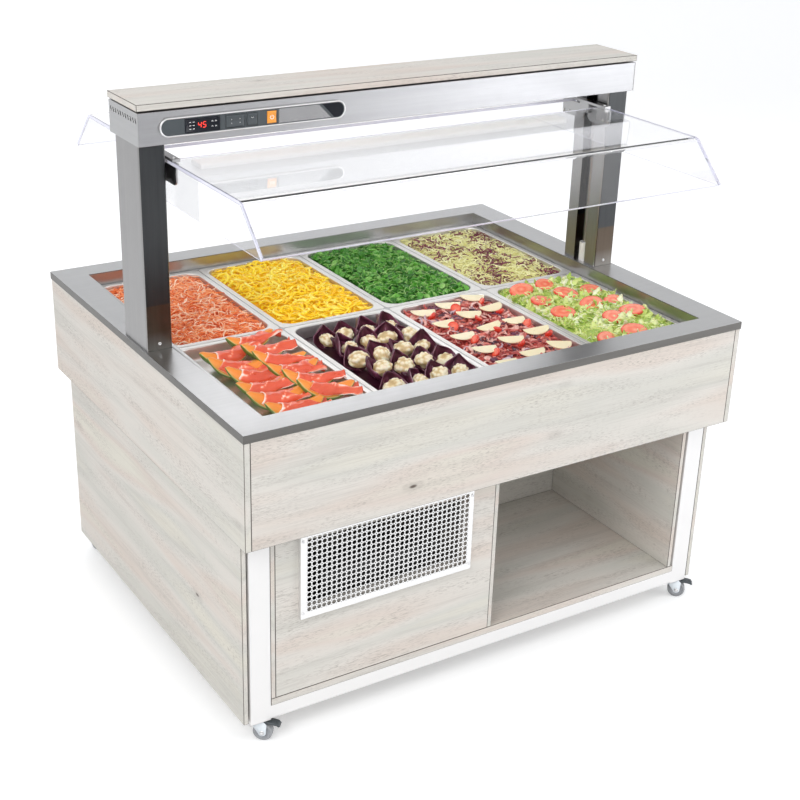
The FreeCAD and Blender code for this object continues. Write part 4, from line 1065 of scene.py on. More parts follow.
@dataclass
class Grille:
    """Perforated sheet in a shallow folded tray."""

    model: Model
    columns: int = 34
    rows: int = 15
    pitch: float = 0.0137
    hole: float = 0.0058
    sheet: float = 0.0012
    first_x: float = -0.5536
    first_z: float = 0.3569
    fold: float = 0.0025
    sides: int = 16

    def cell(self) -> Surface:
        """One square of sheet round a hole: front, back and the hole's wall.

        The square's outline points lie on the rays of the hole's points, scaled so that the larger
        coordinate reaches half the pitch.

        Returns:
            The cell in the XZ plane, its front at y = 0.
        """
        angle = np.arange(self.sides) * 2 * np.pi / self.sides + np.pi / self.sides
        ray = np.stack([np.cos(angle), np.sin(angle)], -1)
        square = ray / np.abs(ray).max(1, keepdims=True) * self.pitch / 2
        corner = np.abs(np.abs(square[:, 0]) - np.abs(square[:, 1])) < self.pitch * 0.1
        square[corner] = np.sign(square[corner]) * self.pitch / 2
        flat = [(square, 0.0), (ray * self.hole, 0.0), (ray * self.hole, self.sheet), (square, self.sheet)]
        return grid(np.stack([upright(ring, y) for ring, y in flat]), close_v=True)

    def holes(self) -> Surface:
        """All cells of the perforated field."""
        cell = self.cell()
        column, row = np.meshgrid(np.arange(self.columns), np.arange(self.rows), indexing="ij")
        low = self.model.low("vent_grille")
        places = np.stack([self.first_x + column.ravel() * self.pitch, np.full(column.size, low[1]),
                           self.first_z + row.ravel() * self.pitch], -1)
        return copies(cell, np.broadcast_to(np.eye(3), (column.size, 3, 3)), places)

    def tray(self) -> Surface:
        """Plain border round the field, folded back to the panel with a rounded fold, and its inner side."""
        low, high = self.model.low("vent_grille"), self.model.high("vent_grille")
        middle = ((low + high) / 2)[[0, 2]]
        half = ((high - low) / 2)[[0, 2]]
        field_low = np.array([self.first_x, self.first_z]) - self.pitch / 2
        field_half = np.array([self.columns, self.rows]) * self.pitch / 2
        field_middle = field_low + field_half
        turn = np.linspace(0, np.pi / 2, 5)

        def ring(inset: float, y: float, radius: float) -> Array:
            """The tray's outline, drawn in, at a depth."""
            outline = rounded_rectangle(half[0] - inset, half[1] - inset, radius, 3)[0] + middle
            return upright(outline, y)

        inner = rounded_rectangle(field_half[0], field_half[1], 1e-5, 3)[0] + field_middle
        front, back, fold = low[1], high[1], self.fold
        rings = [upright(inner, front)]
        rings += [ring(fold * (1 - math.sin(t)), front + fold * (1 - math.cos(t)), fold) for t in turn]
        rings += [ring(0.0, back, fold), ring(self.sheet, back, fold - self.sheet)]
        rings += [ring(self.sheet, front + fold, fold - self.sheet), ring(fold, front + self.sheet, 5e-4)]
        rings += [rings[0] + np.array([0.0, self.sheet, 0.0])]
        return grid(np.stack(rings), close_v=True)

    def build(self) -> None:
        """The grille in place of the plain one."""
        surface = joined([self.holes(), self.tray()])
        make("grille", surface, "root", [Finish.STEEL_SHEET], ["vent_grille"], weld=True,
             smooth=False)


# ---- screws ------------------------------------------------------------------------------------------------


@dataclass
class Screws:
    """Domed heads with a hexagonal socket."""

    model: Model
    radius: float = 0.0044
    height: float = 0.0022
    socket: float = 0.0021
    depth: float = 0.0013

    def head(self) -> Surface:
        """One head standing along +Z on z = 0."""
        dome = np.linspace(0, 1, 6)
        radius = np.concatenate([[self.radius * 0.98], self.radius * np.cos(dome * 0.95)])
        height = np.concatenate([[0.0], 0.0004 + (self.height - 0.0004) * np.sin(dome * np.pi / 2)])
        angle = np.linspace(0, 2 * np.pi, 18, endpoint=False)
        hexagon = self.socket / np.cos((angle + np.pi / 6) % (np.pi / 3) - np.pi / 6)
        rings = [np.stack([r * np.cos(angle), r * np.sin(angle), 0 * angle + h], -1)
                 for r, h in zip(radius, height)]
        flat = np.stack([hexagon * np.cos(angle), hexagon * np.sin(angle), 0 * angle + self.height], -1)
        sunk = flat - np.array([0, 0, self.depth])
        centre = np.stack([0 * angle, 0 * angle, 0 * angle + self.height - self.depth], -1)
        return grid(np.stack([*rings, flat, sunk, centre]), close_v=True)

    def at_centres(self, node: str) -> Array:
        """Middle of every head of a node: its loose points are grouped by their rounded neighbourhood.

        Args:
            node: the node that holds the plain heads.

        Returns:
            Rows of centre x, y, z and the half size of the head along each axis.
        """
        mesh = self.model.frame["nodes"][node].data
        points = np.empty(len(mesh.vertices) * 3)
        mesh.vertices.foreach_get("co", points)
        points = points.reshape(-1, 3)
        heads = []
        left = points
        while len(left):
            near = np.linalg.norm(left - left[0], axis=1) < 2.6 * self.radius
            cluster = left[near]
            heads.append(np.concatenate([(cluster.min(0) + cluster.max(0)) / 2, np.ptp(cluster, axis=0) / 2]))
            left = left[~near]
        return np.array(heads)

    def place(self, node: str, name: str, body: str) -> None:
        """Puts a drawn head where each plain one stands.

        Args:
            node: the node that holds the plain heads.
            name: name of the new piece.
            body: body that it rides on.
        """
        parts = []
        for head in self.at_centres(node):
            centre, half = head[:3], head[3:]
            axis = int(np.argmin(half))
            outward = self.outward(node, centre, axis)
            normal = np.zeros(3)
            normal[axis] = outward
            side = np.roll(normal, 1)
            turn = np.stack([side, np.cross(normal, side), normal], 1)
            parts.append(self.head().turned(turn).moved(centre - normal * half[axis]))
        make(name, joined(parts), body, [Finish.BEZEL], [node], weld=True)

    def outward(self, node: str, centre: Array, axis: int) -> float:
        """Sign of the direction in which a head stands off its sheet.

        Args:
            node: the node that holds the plain heads.
            centre: middle of the head.
            axis: number of the axis it stands along.

        Returns:
            Plus or minus one.
        """
        if node == "fixing_screws":
            return -1.0 if centre[1] < 0 else 1.0
        return 1.0 if axis == 2 else -float(np.sign(centre[0]))

    def build(self) -> None:
        """Heads on the grille, the posts and the canopy."""
        self.place("fixing_screws", "fixing_heads", "root")
        self.place("canopy_screws", "canopy_heads", "canopy")


# ---- pans --------------------------------------------------------------------------------------------------


@dataclass
class Pan:
    """Drawn gastronorm pan: flat flange with a beaded edge, tapering walls, round corners and floor."""

    model: Model
    node: str
    rim: float = 0.014
    wall: float = 0.0015
    corner: float = 0.042
    rim_corner: float = 0.014
    taper: float = 0.08
    floor_round: float = 0.013
    mouth_round: float = 0.003

    @property
    def middle(self) -> Array:
        """Centre of the pan, in X and Y."""
        return self.model.middle(self.node)[:2]

    @property
    def rim_z(self) -> float:
        """Height of the flange's upper face."""
        return float(self.model.high(self.node)[2])

    @property
    def depth(self) -> float:
        """Depth from the flange to the outer floor."""
        return float(self.rim_z - self.model.low(self.node)[2])

    @property
    def half(self) -> Array:
        """Half width and half length over the flange."""
        return (self.model.high(self.node) - self.model.low(self.node))[:2] / 2

    def ring(self, inset: float, z: float, radius: float) -> Array:
        """Outline at a height, drawn in from the flange's edge."""
        outline = rounded_rectangle(self.half[0] - inset, self.half[1] - inset, radius, 9)[0]
        return np.concatenate([outline, np.full((len(outline), 1), z)], 1)

    def side(self, wall: float, floor_z: float) -> list[Array]:
        """Rings from the mouth's edge down one side of the sheet to the middle of the floor.

        The wall leans in by taper times the depth below the flange; the floor's corner is a quarter circle.

        Args:
            wall: how far this side of the sheet lies inside the outer one.
            floor_z: height of the floor on this side.

        Returns:
            The rings, the last one shrunk to a point.
        """
        top = self.rim_z - (0.0 if wall else self.wall)
        base = self.rim + wall
        rings = []
        for t in np.linspace(0, np.pi / 2, 5):
            inset = base - self.mouth_round * (1 - math.sin(t))
            rings.append(self.ring(inset, top - self.mouth_round * (1 - math.cos(t)), self.corner - wall))
        straight = floor_z + self.floor_round
        for z in np.linspace(top - self.mouth_round, straight, 6)[1:]:
            lean = self.taper * (top - z)
            rings.append(self.ring(base + lean, z, self.corner - wall - lean / 2))
        lean = self.taper * (top - straight)
        for t in np.linspace(0, np.pi / 2, 6)[1:]:
            inset = base + lean + self.floor_round * (1 - math.cos(t))
            radius = self.corner - wall - lean / 2 - self.floor_round * (1 - math.cos(t))
            rings.append(self.ring(inset, straight - self.floor_round * math.sin(t), radius))
        last = rings[-1]
        centre = np.array([0.0, 0.0, last[0, 2]])
        rings += [centre + (last - centre) * share for share in (0.8, 0.4, 0.0)]
        return rings

    def build(self) -> None:
        """The pan in place of the plain one."""
        z, sheet = self.rim_z, self.wall
        bead = [(0.0115, 0.0), (0.0055, 0.0), (0.0040, 0.0005), (0.0022, 0.0005), (0.0008, 0.0),
                (0.0, -0.0006)]
        top = [self.ring(inset, z + lift - 0.0005, self.rim_corner) for inset, lift in bead]
        under = [self.ring(inset, z - sheet, self.rim_corner) for inset in (0.0002, 0.0025, 0.0115)]
        inside, outside = self.side(sheet, z - self.depth + sheet), self.side(0.0, z - self.depth)
        surface = grid(np.stack([*inside[::-1], *top, *under, *outside]), close_v=True)
        surface = surface.moved([*self.middle, 0.0])
        make("drawn_" + self.node, surface, self.node, [Finish.PAN], [self.node], weld=True)


# ---- food --------------------------------------------------------------------------------------------------


@dataclass
class Filling:
    """Food in one pan: a closed bed that follows the pan's walls, and pieces laid on it at random."""

    pan: Pan
    seed: int
    drop: float = 0.012
    crown: float = 0.010
    lump: float = 0.003
    gap: float = 0.0015
    random: np.random.Generator = field(init=False)

    def __post_init__(self) -> None:
        """Seeds the random draws, so that every run gives the same food."""
        self.random = np.random.default_rng(self.seed)

    def half(self, depth: float) -> Array:
        """Free half width and half length at a depth below the rim."""
        return self.pan.half - self.pan.rim - self.pan.wall - self.pan.taper * depth - self.gap

    def height(self, x: Array, y: Array) -> Array:
        """Height of the bed: a heap that falls to its border by squares, with waves of fixed phase on it."""
        half = self.half(self.drop)
        heap = self.crown * np.clip(1 - (x / half[0]) ** 2, 0, 1) * np.clip(1 - (y / half[1]) ** 2, 0, 1)
        first, second = np.sin(x * 61 + y * 37 + self.seed), np.sin(x * 23 - y * 71 + 2 * self.seed)
        wave = first + second + np.sin(x * 97 + y * 89)
        return self.pan.rim_z - self.drop + heap + self.lump * wave / 3

    def bed(self, finish: Finish, tone: float = 0.3) -> None:
        """Closed body of food from the pan's floor up to the heap.

        Rings shrink from the wall to the middle, above along the heap and below along the floor.

        Args:
            finish: its finish.
            tone: its tone, a little darker than the pieces on it, as painted shade under them.
        """
        share = np.linspace(0.0, 1.0, 14)
        top, deep = self.half(self.drop), self.pan.depth - 2 * self.pan.wall
        low = self.half(deep) - self.pan.floor_round
        corner = self.pan.corner - self.pan.wall - self.gap
        upper = rounded_rectangle(top[0] * share, top[1] * share, corner * share, 9)
        upper = np.concatenate([upper, self.height(upper[..., 0], upper[..., 1])[..., None]], -1)
        lower = rounded_rectangle(low[0] * share[::-1], low[1] * share[::-1], corner * 0.6 * share[::-1], 9)
        lower = np.concatenate([lower, np.full((*lower.shape[:2], 1), self.pan.rim_z - deep)], -1)
        self.put("bed", grid(np.concatenate([upper, lower]), close_v=True).toned(tone), finish)

    def put(self, name: str, surface: Surface, finish: Finish) -> None:
        """Makes a piece that rides on the pan, from points about the pan's middle."""
        make(self.pan.node.replace("pan_", "food_") + "_" + name, surface.moved([*self.pan.middle, 0.0]),
             self.pan.node, [finish], weld=True)

    def spots(self, count: int, margin: float, lift: float = 0.0) -> Array:
        """Places on the bed: the middles of a lattice of equal cells, each shifted at random within its cell.

        Args:
            count: how many, roughly.
            margin: distance kept from the wall.
            lift: height above the bed.

        Returns:
            Rows of x, y, z.
        """
        half = self.half(self.drop) - margin
        columns = max(1, round(math.sqrt(count * half[0] / half[1])))
        rows = max(1, round(count / columns))
        column, row = np.meshgrid(np.arange(columns), np.arange(rows), indexing="ij")
        shift = self.random.uniform(0.05, 0.95, (columns * rows, 2))
        cell = np.stack([column.ravel(), row.ravel()], -1) + shift
        x, y = ((cell / [columns, rows] * 2 - 1) * half).T
        corner = 0.03 - margin
        beyond = np.hypot(np.clip(np.abs(x) - half[0] + corner, 0, None),
                          np.clip(np.abs(y) - half[1] + corner, 0, None))
        inside = (beyond < corner) | (corner <= 0)
        return np.stack([x, y, self.height(x, y) + lift], -1)[inside]

    def strew(self, shapes: Sequence[Surface], spots: Array, tilt: float,
              sizes: tuple[float, float] = (0.8, 1.2), tones: Array | None = None) -> Surface:
        """Copies of a few shapes on the spots, in all directions and leaning a little.

        Args:
            shapes: small surfaces, taken in turn.
            spots: rows of x, y, z.
            tilt: largest lean, in radians.
            sizes: smallest and largest scale.
            tones: a tone per spot; random where left out.

        Returns:
            One surface with all the copies.
        """
        count = len(spots)
        lean = self.random.uniform(-tilt, tilt, (2, count))
        turns = turning(self.random.uniform(0, 2 * np.pi, count), lean[0], lean[1],
                        self.random.uniform(*sizes, count))
        tones = self.random.uniform(0.2, 0.9, count) if tones is None else tones
        kinds = np.arange(count) % len(shapes)
        return joined(copies(shape, turns[kinds == n], spots[kinds == n], tones[kinds == n])
                      for n, shape in enumerate(shapes))


def strip(length: float, width: float, thick: float, bend: float, arch: float, twist: float,
          steps: int = 7) -> Surface:
    """Bent strip: its centre line is an arc of the given turn that rises in the middle by the arch.

    Its section is a rectangle that twists along the way.

    Args:
        length: length along the arc.
        width: width of the section.
        thick: its thickness.
        bend: whole turn of the arc, in radians.
        arch: rise of the middle over the ends.
        twist: whole twist of the section, in radians.
        steps: rings along it.

    Returns:
        The strip, closed at both ends.
    """
    share = np.linspace(-0.5, 0.5, steps)
    radius, angle, roll = length / bend, share * bend, share * twist
    centre = np.stack([radius * np.sin(angle), radius * (1 - np.cos(angle)), arch * (1 - 4 * share ** 2)], -1)
    inward = np.stack([-np.sin(angle), np.cos(angle), 0 * angle], -1)
    up = np.array([0.0, 0.0, 1.0])
    across = inward * np.cos(roll)[:, None] + up * np.sin(roll)[:, None]
    over = up * np.cos(roll)[:, None] - inward * np.sin(roll)[:, None]
    taper = np.clip(1.15 - (2 * share) ** 4, 0.3, 1)[:, None]
    signs = ((-1, -1), (1, -1), (1, 1), (-1, 1))
    corner = [across * a * width / 2 * taper + over * b * thick / 2 for a, b in signs]
    return capped(np.stack([centre + c for c in corner], 1))


@dataclass
class Shreds(Filling):
    """Grated or cut vegetables: bent strips in all directions over a bed of the same colour."""

    finish: Finish = Finish.CARROT
    count: int = 1300
    length: float = 0.042
    width: float = 0.0026
    thick: float = 0.0017
    bends: tuple[float, ...] = (0.5, 1.4, 2.4, 3.6)
    arch: float = 0.004
    tilt: float = 0.35
    layer: float = 0.007
    steps: int = 7
    second: float = 0.0

    def tones(self, spots: Array) -> Array:
        """Tone per strip: random, and with a second kind it is low where two waves meet in patches.

        Args:
            spots: where the strips lie.

        Returns:
            The tones.
        """
        tone = self.random.uniform(0.3, 1.0, len(spots))
        if self.second:
            x, y = spots[:, 0], spots[:, 1]
            patch = np.sin(x * 31 + 1.0) * np.cos(y * 19 + 0.5) + 0.5 * np.sin(x * 53 + y * 47)
            dark = patch * 0.35 + self.random.uniform(0, 1, len(spots)) > 1 - self.second
            tone = np.where(dark, tone * 0.22, 0.52 + tone * 0.4)
        return tone

    def build(self) -> None:
        """Bed and strips."""
        # The bed's lower tone is painted shade under the strips.
        self.bed(self.finish, 0.55 if self.second else 0.2)
        shapes = [strip(self.length, self.width, self.thick, bend, self.arch * (n % 3), 1.2 * (n % 2),
                        self.steps) for n, bend in enumerate(self.bends)]
        spots = self.spots(self.count, self.length * 0.28)
        spots[:, 2] += self.random.uniform(-0.001, self.layer, len(spots))
        self.put("strips", self.strew(shapes, spots, self.tilt, (0.7, 1.25), self.tones(spots)), self.finish)


def leaf(length: float, width: float, cup: float, curl: float, wave: float, thick: float = 0.0009,
         rows: int = 6, columns: int = 5) -> Surface:
    """Small leaf, cupped across and curled along.

    The outline's half width is the width times the sine of pi times u to the power 0.75. Across, the leaf
    is an arc; along, its height follows the square of u; the border waves.

    Args:
        length: from stalk to tip.
        width: half of the largest width.
        cup: rise of the border over the midrib.
        curl: rise of the tip.
        wave: height of the border's waves.
        thick: thickness.
        rows: grid lines along it.
        columns: grid lines across.

    Returns:
        The leaf, lying along +X from the origin, its midrib paler than the rest.
    """
    u, v = np.meshgrid(np.linspace(0.04, 0.97, rows), np.linspace(-1, 1, columns), indexing="ij")
    half = width * np.sin(np.pi * u ** 0.75)
    z = cup * v ** 2 * half / width + curl * u ** 2 + wave * np.sin(9 * u + 3 * v) * np.abs(v)
    middle = np.stack([(u - 0.5) * length, half * v, z], -1)
    tone = 0.5 + 0.35 * (1 - np.abs(v)) ** 3 - 0.15 * u
    return thickened(middle, thick, tone)


@dataclass
class SmallLeaves(Filling):
    """Heap of small round leaves with thin stalks."""

    count: int = 900
    stalks: int = 420

    def build(self) -> None:
        """Bed, leaves and stalks."""
        self.bed(Finish.CRESS, 0.12)
        shapes = [leaf(0.024, 0.0075, 0.004, 0.006, 0.0012), leaf(0.020, 0.0065, -0.003, -0.004, 0.001),
                  leaf(0.028, 0.006, 0.005, 0.009, 0.0015)]
        spots = self.spots(self.count, 0.010)
        spots[:, 2] += self.random.uniform(-0.002, 0.009, len(spots))
        tones = self.random.uniform(0.15, 0.8, len(spots))
        self.put("leaves", self.strew(shapes, spots, 0.9, (0.75, 1.35), tones), Finish.CRESS)
        spots = self.spots(self.stalks, 0.010, 0.007)
        shapes = [strip(0.026, 0.0013, 0.0011, bend, 0.004, 0.0, 5) for bend in (0.6, 1.5, 2.4)]
        tones = self.random.uniform(0.75, 1.0, len(spots))
        self.put("stalks", self.strew(shapes, spots, 0.6, tones=tones), Finish.CRESS)


@dataclass
class MelonWithHam(Filling):
    """Shallow tray of melon crescents, each with a slice of ham laid over it."""

    rind: float = 0.080
    deep: float = 0.040
    wide: float = 0.024
    reach: float = math.radians(66)
    sheet: float = 0.0018
    rows: int = 6
    section: tuple[tuple[float, float, float], ...] = (
        (-0.42, 0.00, 0.03), (-0.74, 0.07, 0.10), (-0.88, 0.16, 0.17), (-0.96, 0.24, 0.30), (-1.0, 0.38, 0.7),
        (-0.82, 0.70, 0.85), (-0.50, 0.97, 0.9), (0.0, 0.90, 0.7), (0.50, 0.97, 0.9), (0.82, 0.70, 0.85),
        (1.0, 0.38, 0.7), (0.96, 0.24, 0.30), (0.88, 0.16, 0.17), (0.74, 0.07, 0.10), (0.42, 0.00, 0.03))

    def body(self, angle: Array, across: Array, up: Array, swell: float = 0.0) -> Array:
        """Points on or about a crescent that rocks on its rind.

        The crescent's depth and width at an angle from its middle fall as the square root of the cosine that
        reaches zero just beyond its tips; a point lies at the rind's radius less its height, on a circle.

        Args:
            angle: angle from the middle, along the crescent.
            across: from -1 to 1 over the width.
            up: from 0 at the rind to 1 at the inner edge.
            swell: distance that the section stands off the flesh.

        Returns:
            Points of x, y, z with the rind's lowest point on z = 0.
        """
        taper = np.sqrt(np.clip(np.cos(angle / self.reach * 1.50), 0.01, 1))
        height = up * (self.deep * taper + swell) - swell * (up < 0.3)
        radius = self.rind - height
        side = across * (self.wide * taper + swell)
        return np.stack([radius * np.sin(angle), side, self.rind - radius * np.cos(angle)], -1)

    def crescent(self) -> Surface:
        """One crescent: rings of the section along its arc, closed at both tips."""
        section = np.array(self.section)
        angle = np.linspace(-self.reach, self.reach, 22)[:, None]
        points = self.body(angle, section[:, 0][None], section[:, 1][None])
        return replace(capped(points), tone=np.tile(section[:, 2], len(angle)))

    def slice(self, number: int) -> Surface:
        """One slice of ham: it hugs the crescent's upper side, then leaves it in upright folds.

        Along the slice the angle grows from the bare end past the far tip, where the sheet lets go of the
        melon by the square of the way beyond it and its folds grow; the borders are fat.

        Args:
            number: number of the slice, which sets its folds.

        Returns:
            The slice about the same origin as the crescent.
        """
        u, v = np.meshgrid(np.linspace(0, 1, 34), np.linspace(-1, 1, 17), indexing="ij")
        start, end = -0.64 * self.reach, 1.12 * self.reach
        slant = 0.08 * v * math.sin(number * 1.7)
        angle = start + (end - start) * np.clip(u + slant, 0, 1)
        wrap = np.clip(np.abs(v) * 1.25, 0, 1)
        up = 0.98 - 0.66 * wrap ** 2.2
        across = np.sign(v) * np.clip(np.abs(v) * 1.6, 0, 1) ** 0.8
        points = self.body(angle, across, up, 0.0022)
        away = np.clip((u - 0.62) / 0.38, 0, 1)
        fold = np.sin(v * (6.0 + number % 3) + number * 2.1 + u * 4.0)
        loose = np.stack([0.014 * away ** 2 + 0 * v, 0.026 * away * v,
                          away * (0.009 * fold + 0.008 * np.sin(u * 5 + number) - 0.022 * away)], -1)
        ripple = 0.0020 * np.sin(u * 21 + v * 4 + number) + 0.0016 * np.sin(u * 9 - v * 11 + 2 * number)
        points = points + loose + np.stack([0 * u, 0 * u, ripple * (0.4 + away)], -1)
        border = np.maximum(np.abs(v) ** 7, np.clip(1 - u / 0.07, 0, 1))
        vein = np.exp(-((v - 0.55 * np.sin(u * 4.2 + number)) / 0.06) ** 2) * (np.sin(u * 9 + number) > -0.3)
        second = np.exp(-((v + 0.50 * np.cos(u * 6.0 + 2 * number)) / 0.05) ** 2)
        second = second * (np.sin(u * 11 + number) > 0)
        tone = np.clip(0.22 + 0.70 * border + 0.60 * vein + 0.55 * second, 0, 1)
        return thickened(points, self.sheet, tone)

    def build(self) -> None:
        """Two columns of crescents, their bare ends to the left, and the ham on them."""
        crescents, slices = [], []
        half = self.half(0.0)
        floor = self.pan.rim_z - self.pan.depth + self.pan.wall + 0.001
        for number in range(2 * self.rows):
            column, row = number % 2, number // 2
            x = (-0.046, 0.052)[column] + self.random.uniform(-0.010, 0.010)
            y = -half[1] + 0.056 + row * (2 * half[1] - 0.135) / (self.rows - 1) + 0.040 * column
            lift = 0.004 + 0.012 * column
            yaw, roll = self.random.uniform(-0.42, 0.06), self.random.uniform(-0.38, -0.10)
            turn = turning(yaw, self.random.uniform(0.0, 0.14), roll, self.random.uniform(0.92, 1.06))[0]
            place = (x, y, floor + lift)
            crescents.append(self.crescent().turned(turn).moved(place))
            slices.append(self.slice(number).turned(turn).moved(place))
        self.put("crescents", joined(crescents), Finish.MELON)
        self.put("slices", joined(slices), Finish.HAM)


@dataclass
class CupsWithFlorets(Filling):
    """Dark leaf cups that stand above the rim, each with a cauliflower floret in it."""

    drop: float = 0.030
    crown: float = 0.006
    columns: int = 4
    rows: int = 5
    arc: float = 0.050
    arc_turn: float = 1.85
    breadth: float = 0.046
    sheet: float = 0.0016
    floret_radius: float = 0.0250
    buds: int = 48
    stem_from: float = 2.0

    def cup(self, number: int) -> Surface:
        """One leaf: an arc from its base along the bed and up to a pointed tip, wrapped round its contents.

        The way along the arc sets forward distance and height by sine and cosine; the half width is the sine
        of pi times the way; across, the border comes forward and up as on a spoon; veins run up the middle.

        Args:
            number: number of the leaf, which sets its waves.

        Returns:
            The leaf, its hollow towards -Y.
        """
        u, v = np.meshgrid(np.linspace(0.03, 0.985, 15), np.linspace(-1, 1, 13), indexing="ij")
        bend = u * self.arc_turn
        along, rise = self.arc * np.sin(bend), self.arc * (1 - np.cos(bend))
        half = self.breadth * np.sin(np.pi * u ** 0.85) ** 0.75 * (1 - 0.15 * u)
        turn = v * 1.15
        x = half * np.sin(turn) / 0.92
        hollow = half * (1 - np.cos(turn)) * 1.15
        wave = 0.0030 * np.sin(v * 8 + number) * np.sin(u * 11 + 2 * number) * (0.3 + np.abs(v))
        y = along - hollow * np.sin(bend * 0.9) - 0.020 + wave
        z = rise + hollow * (1 - u) + 0.0030 * np.sin(u * 9 + number) * np.abs(v)
        vein = np.exp(-(v / 0.07) ** 2) + 0.6 * np.exp(-((np.abs(v) - 0.45 * u) / 0.05) ** 2) * (1 - u)
        # Painted sheen: waves of paler and darker tone across the leaf.
        sheen = 0.20 * np.sin(v * 6 + number) * np.sin(u * 7 + 2 * number)
        tone = np.clip(0.32 + 0.60 * vein * (1.15 - u) + 0.30 * np.abs(v) ** 4 + sheen, 0, 1)
        return thickened(np.stack([x, y, z], -1), self.sheet, tone)

    def floret(self, number: int) -> Surface:
        """One floret: a dome whose radius swells round random middles of small buds, on a thick stem."""
        angle = np.linspace(0, 2 * np.pi, 40, endpoint=False)
        polar = np.concatenate([np.linspace(0.02, self.stem_from, 23), [2.35, 2.75, 3.1]])
        theta, phi = np.meshgrid(polar, angle, indexing="ij")
        ray = np.stack([np.sin(theta) * np.cos(phi), np.sin(theta) * np.sin(phi), np.cos(theta)], -1)
        buds = self.random.normal(size=(self.buds, 3))
        buds[:, 2] = np.abs(buds[:, 2]) * 0.9 - 0.15
        buds /= np.linalg.norm(buds, axis=1, keepdims=True)
        near = (ray @ buds.T).max(-1)
        swell = np.exp(-((1 - near) / 0.022))
        stem = theta > self.stem_from
        radius = self.floret_radius * (0.86 + 0.16 * swell)
        radius = radius * np.where(stem, 0.62 + 0.30 * (theta - self.stem_from), 1.0)
        points = ray * radius[..., None] * np.array([1.12, 1.0, 0.92])
        # Painted shade: tone is low in the hollows between buds and high on their tops.
        tone = np.where(stem, 0.45, 0.22 + 0.62 * swell)
        return replace(grid(points, close_v=True).toned(tone.ravel()), tone=tone.ravel())

    def build(self) -> None:
        """Bed of dark leaves, cups in staggered rows and a floret in each."""
        self.bed(Finish.RADICCHIO, 0.1)
        half = self.half(self.drop)
        leaves, florets = [], []
        for number in range(self.columns * self.rows):
            column, row = number % self.columns, number // self.columns
            x = (-0.72 + 0.48 * column + 0.10 * (row % 2)) * (half[0] - 0.012)
            y = (-0.86 + 0.40 * row) * (half[1] - 0.030)
            base = float(self.height(np.array(x), np.array(y)))
            yaw = self.random.uniform(-0.7, 0.9)
            size = self.random.uniform(0.86, 1.06)
            turn = turning(yaw, self.random.uniform(-0.2, 0.2), self.random.uniform(-0.15, 0.25), size)[0]
            leaves.append(self.cup(number).turned(turn).moved((x, y, base - 0.002)))
            side = turning(yaw + 0.5, 0.5, -0.35, 0.9 * size)[0]
            leaves.append(self.cup(number + 31).turned(side).moved((x + 0.026, y + 0.024, base - 0.008)))
            spin = turning(self.random.uniform(0, 6), self.random.uniform(-0.4, 0.4),
                           self.random.uniform(-0.2, 0.6), self.random.uniform(0.85, 1.12))[0]
            forward = turn @ np.array([0.0, -0.010, 0.027])
            florets.append(self.floret(number).turned(spin).moved(np.array([x, y, base]) + forward))
        self.put("cups", joined(leaves), Finish.RADICCHIO)
        self.put("florets", joined(florets), Finish.CURD)


@dataclass
class RoundSlices:
    """Flat slices cut from round produce: whole or half discs with a skin along the arc."""

    radius: float
    thick: float
    squash: float = 1.0
    start: float = 0.0
    turn: float = 2 * math.pi
    steps: int = 22
    skin: float = 0.1
    flesh: float = 0.7

    def build(self) -> Surface:
        """The slice: rings shrink from the rim to the middle on both faces; the cut side is flat.

        A point of the rim is the radius times the direction of its angle, the second coordinate squashed.

        Returns:
            The slice about the disc's middle, lying flat.
        """
        angle = self.start + np.linspace(0, self.turn, self.steps, endpoint=self.turn < 2 * math.pi)
        rim = np.stack([np.cos(angle), np.sin(angle) * self.squash, 0 * angle], -1) * self.radius
        centre = rim.mean(0)
        rim = rim - centre
        rings = [(0.0, 0.5, 0.9), (0.35, 0.5, 0.55), (0.60, 0.46, 0.75), (0.80, 0.5, self.flesh),
                 (0.96, 0.42, 0.4), (1.0, 0.1, self.skin), (1.0, -0.1, self.skin), (0.96, -0.5, 0.4),
                 (0.5, -0.5, 0.6), (0.0, -0.5, 0.6)]
        up = np.array([0.0, 0.0, self.thick])
        points = np.stack([rim * share + up * level for share, level, _ in rings])
        tone = np.repeat([tone for *_, tone in rings], len(angle))
        if self.flesh > 0.75:
            tone = np.full(len(tone), self.flesh)
        return replace(grid(points, close_v=True), tone=tone)


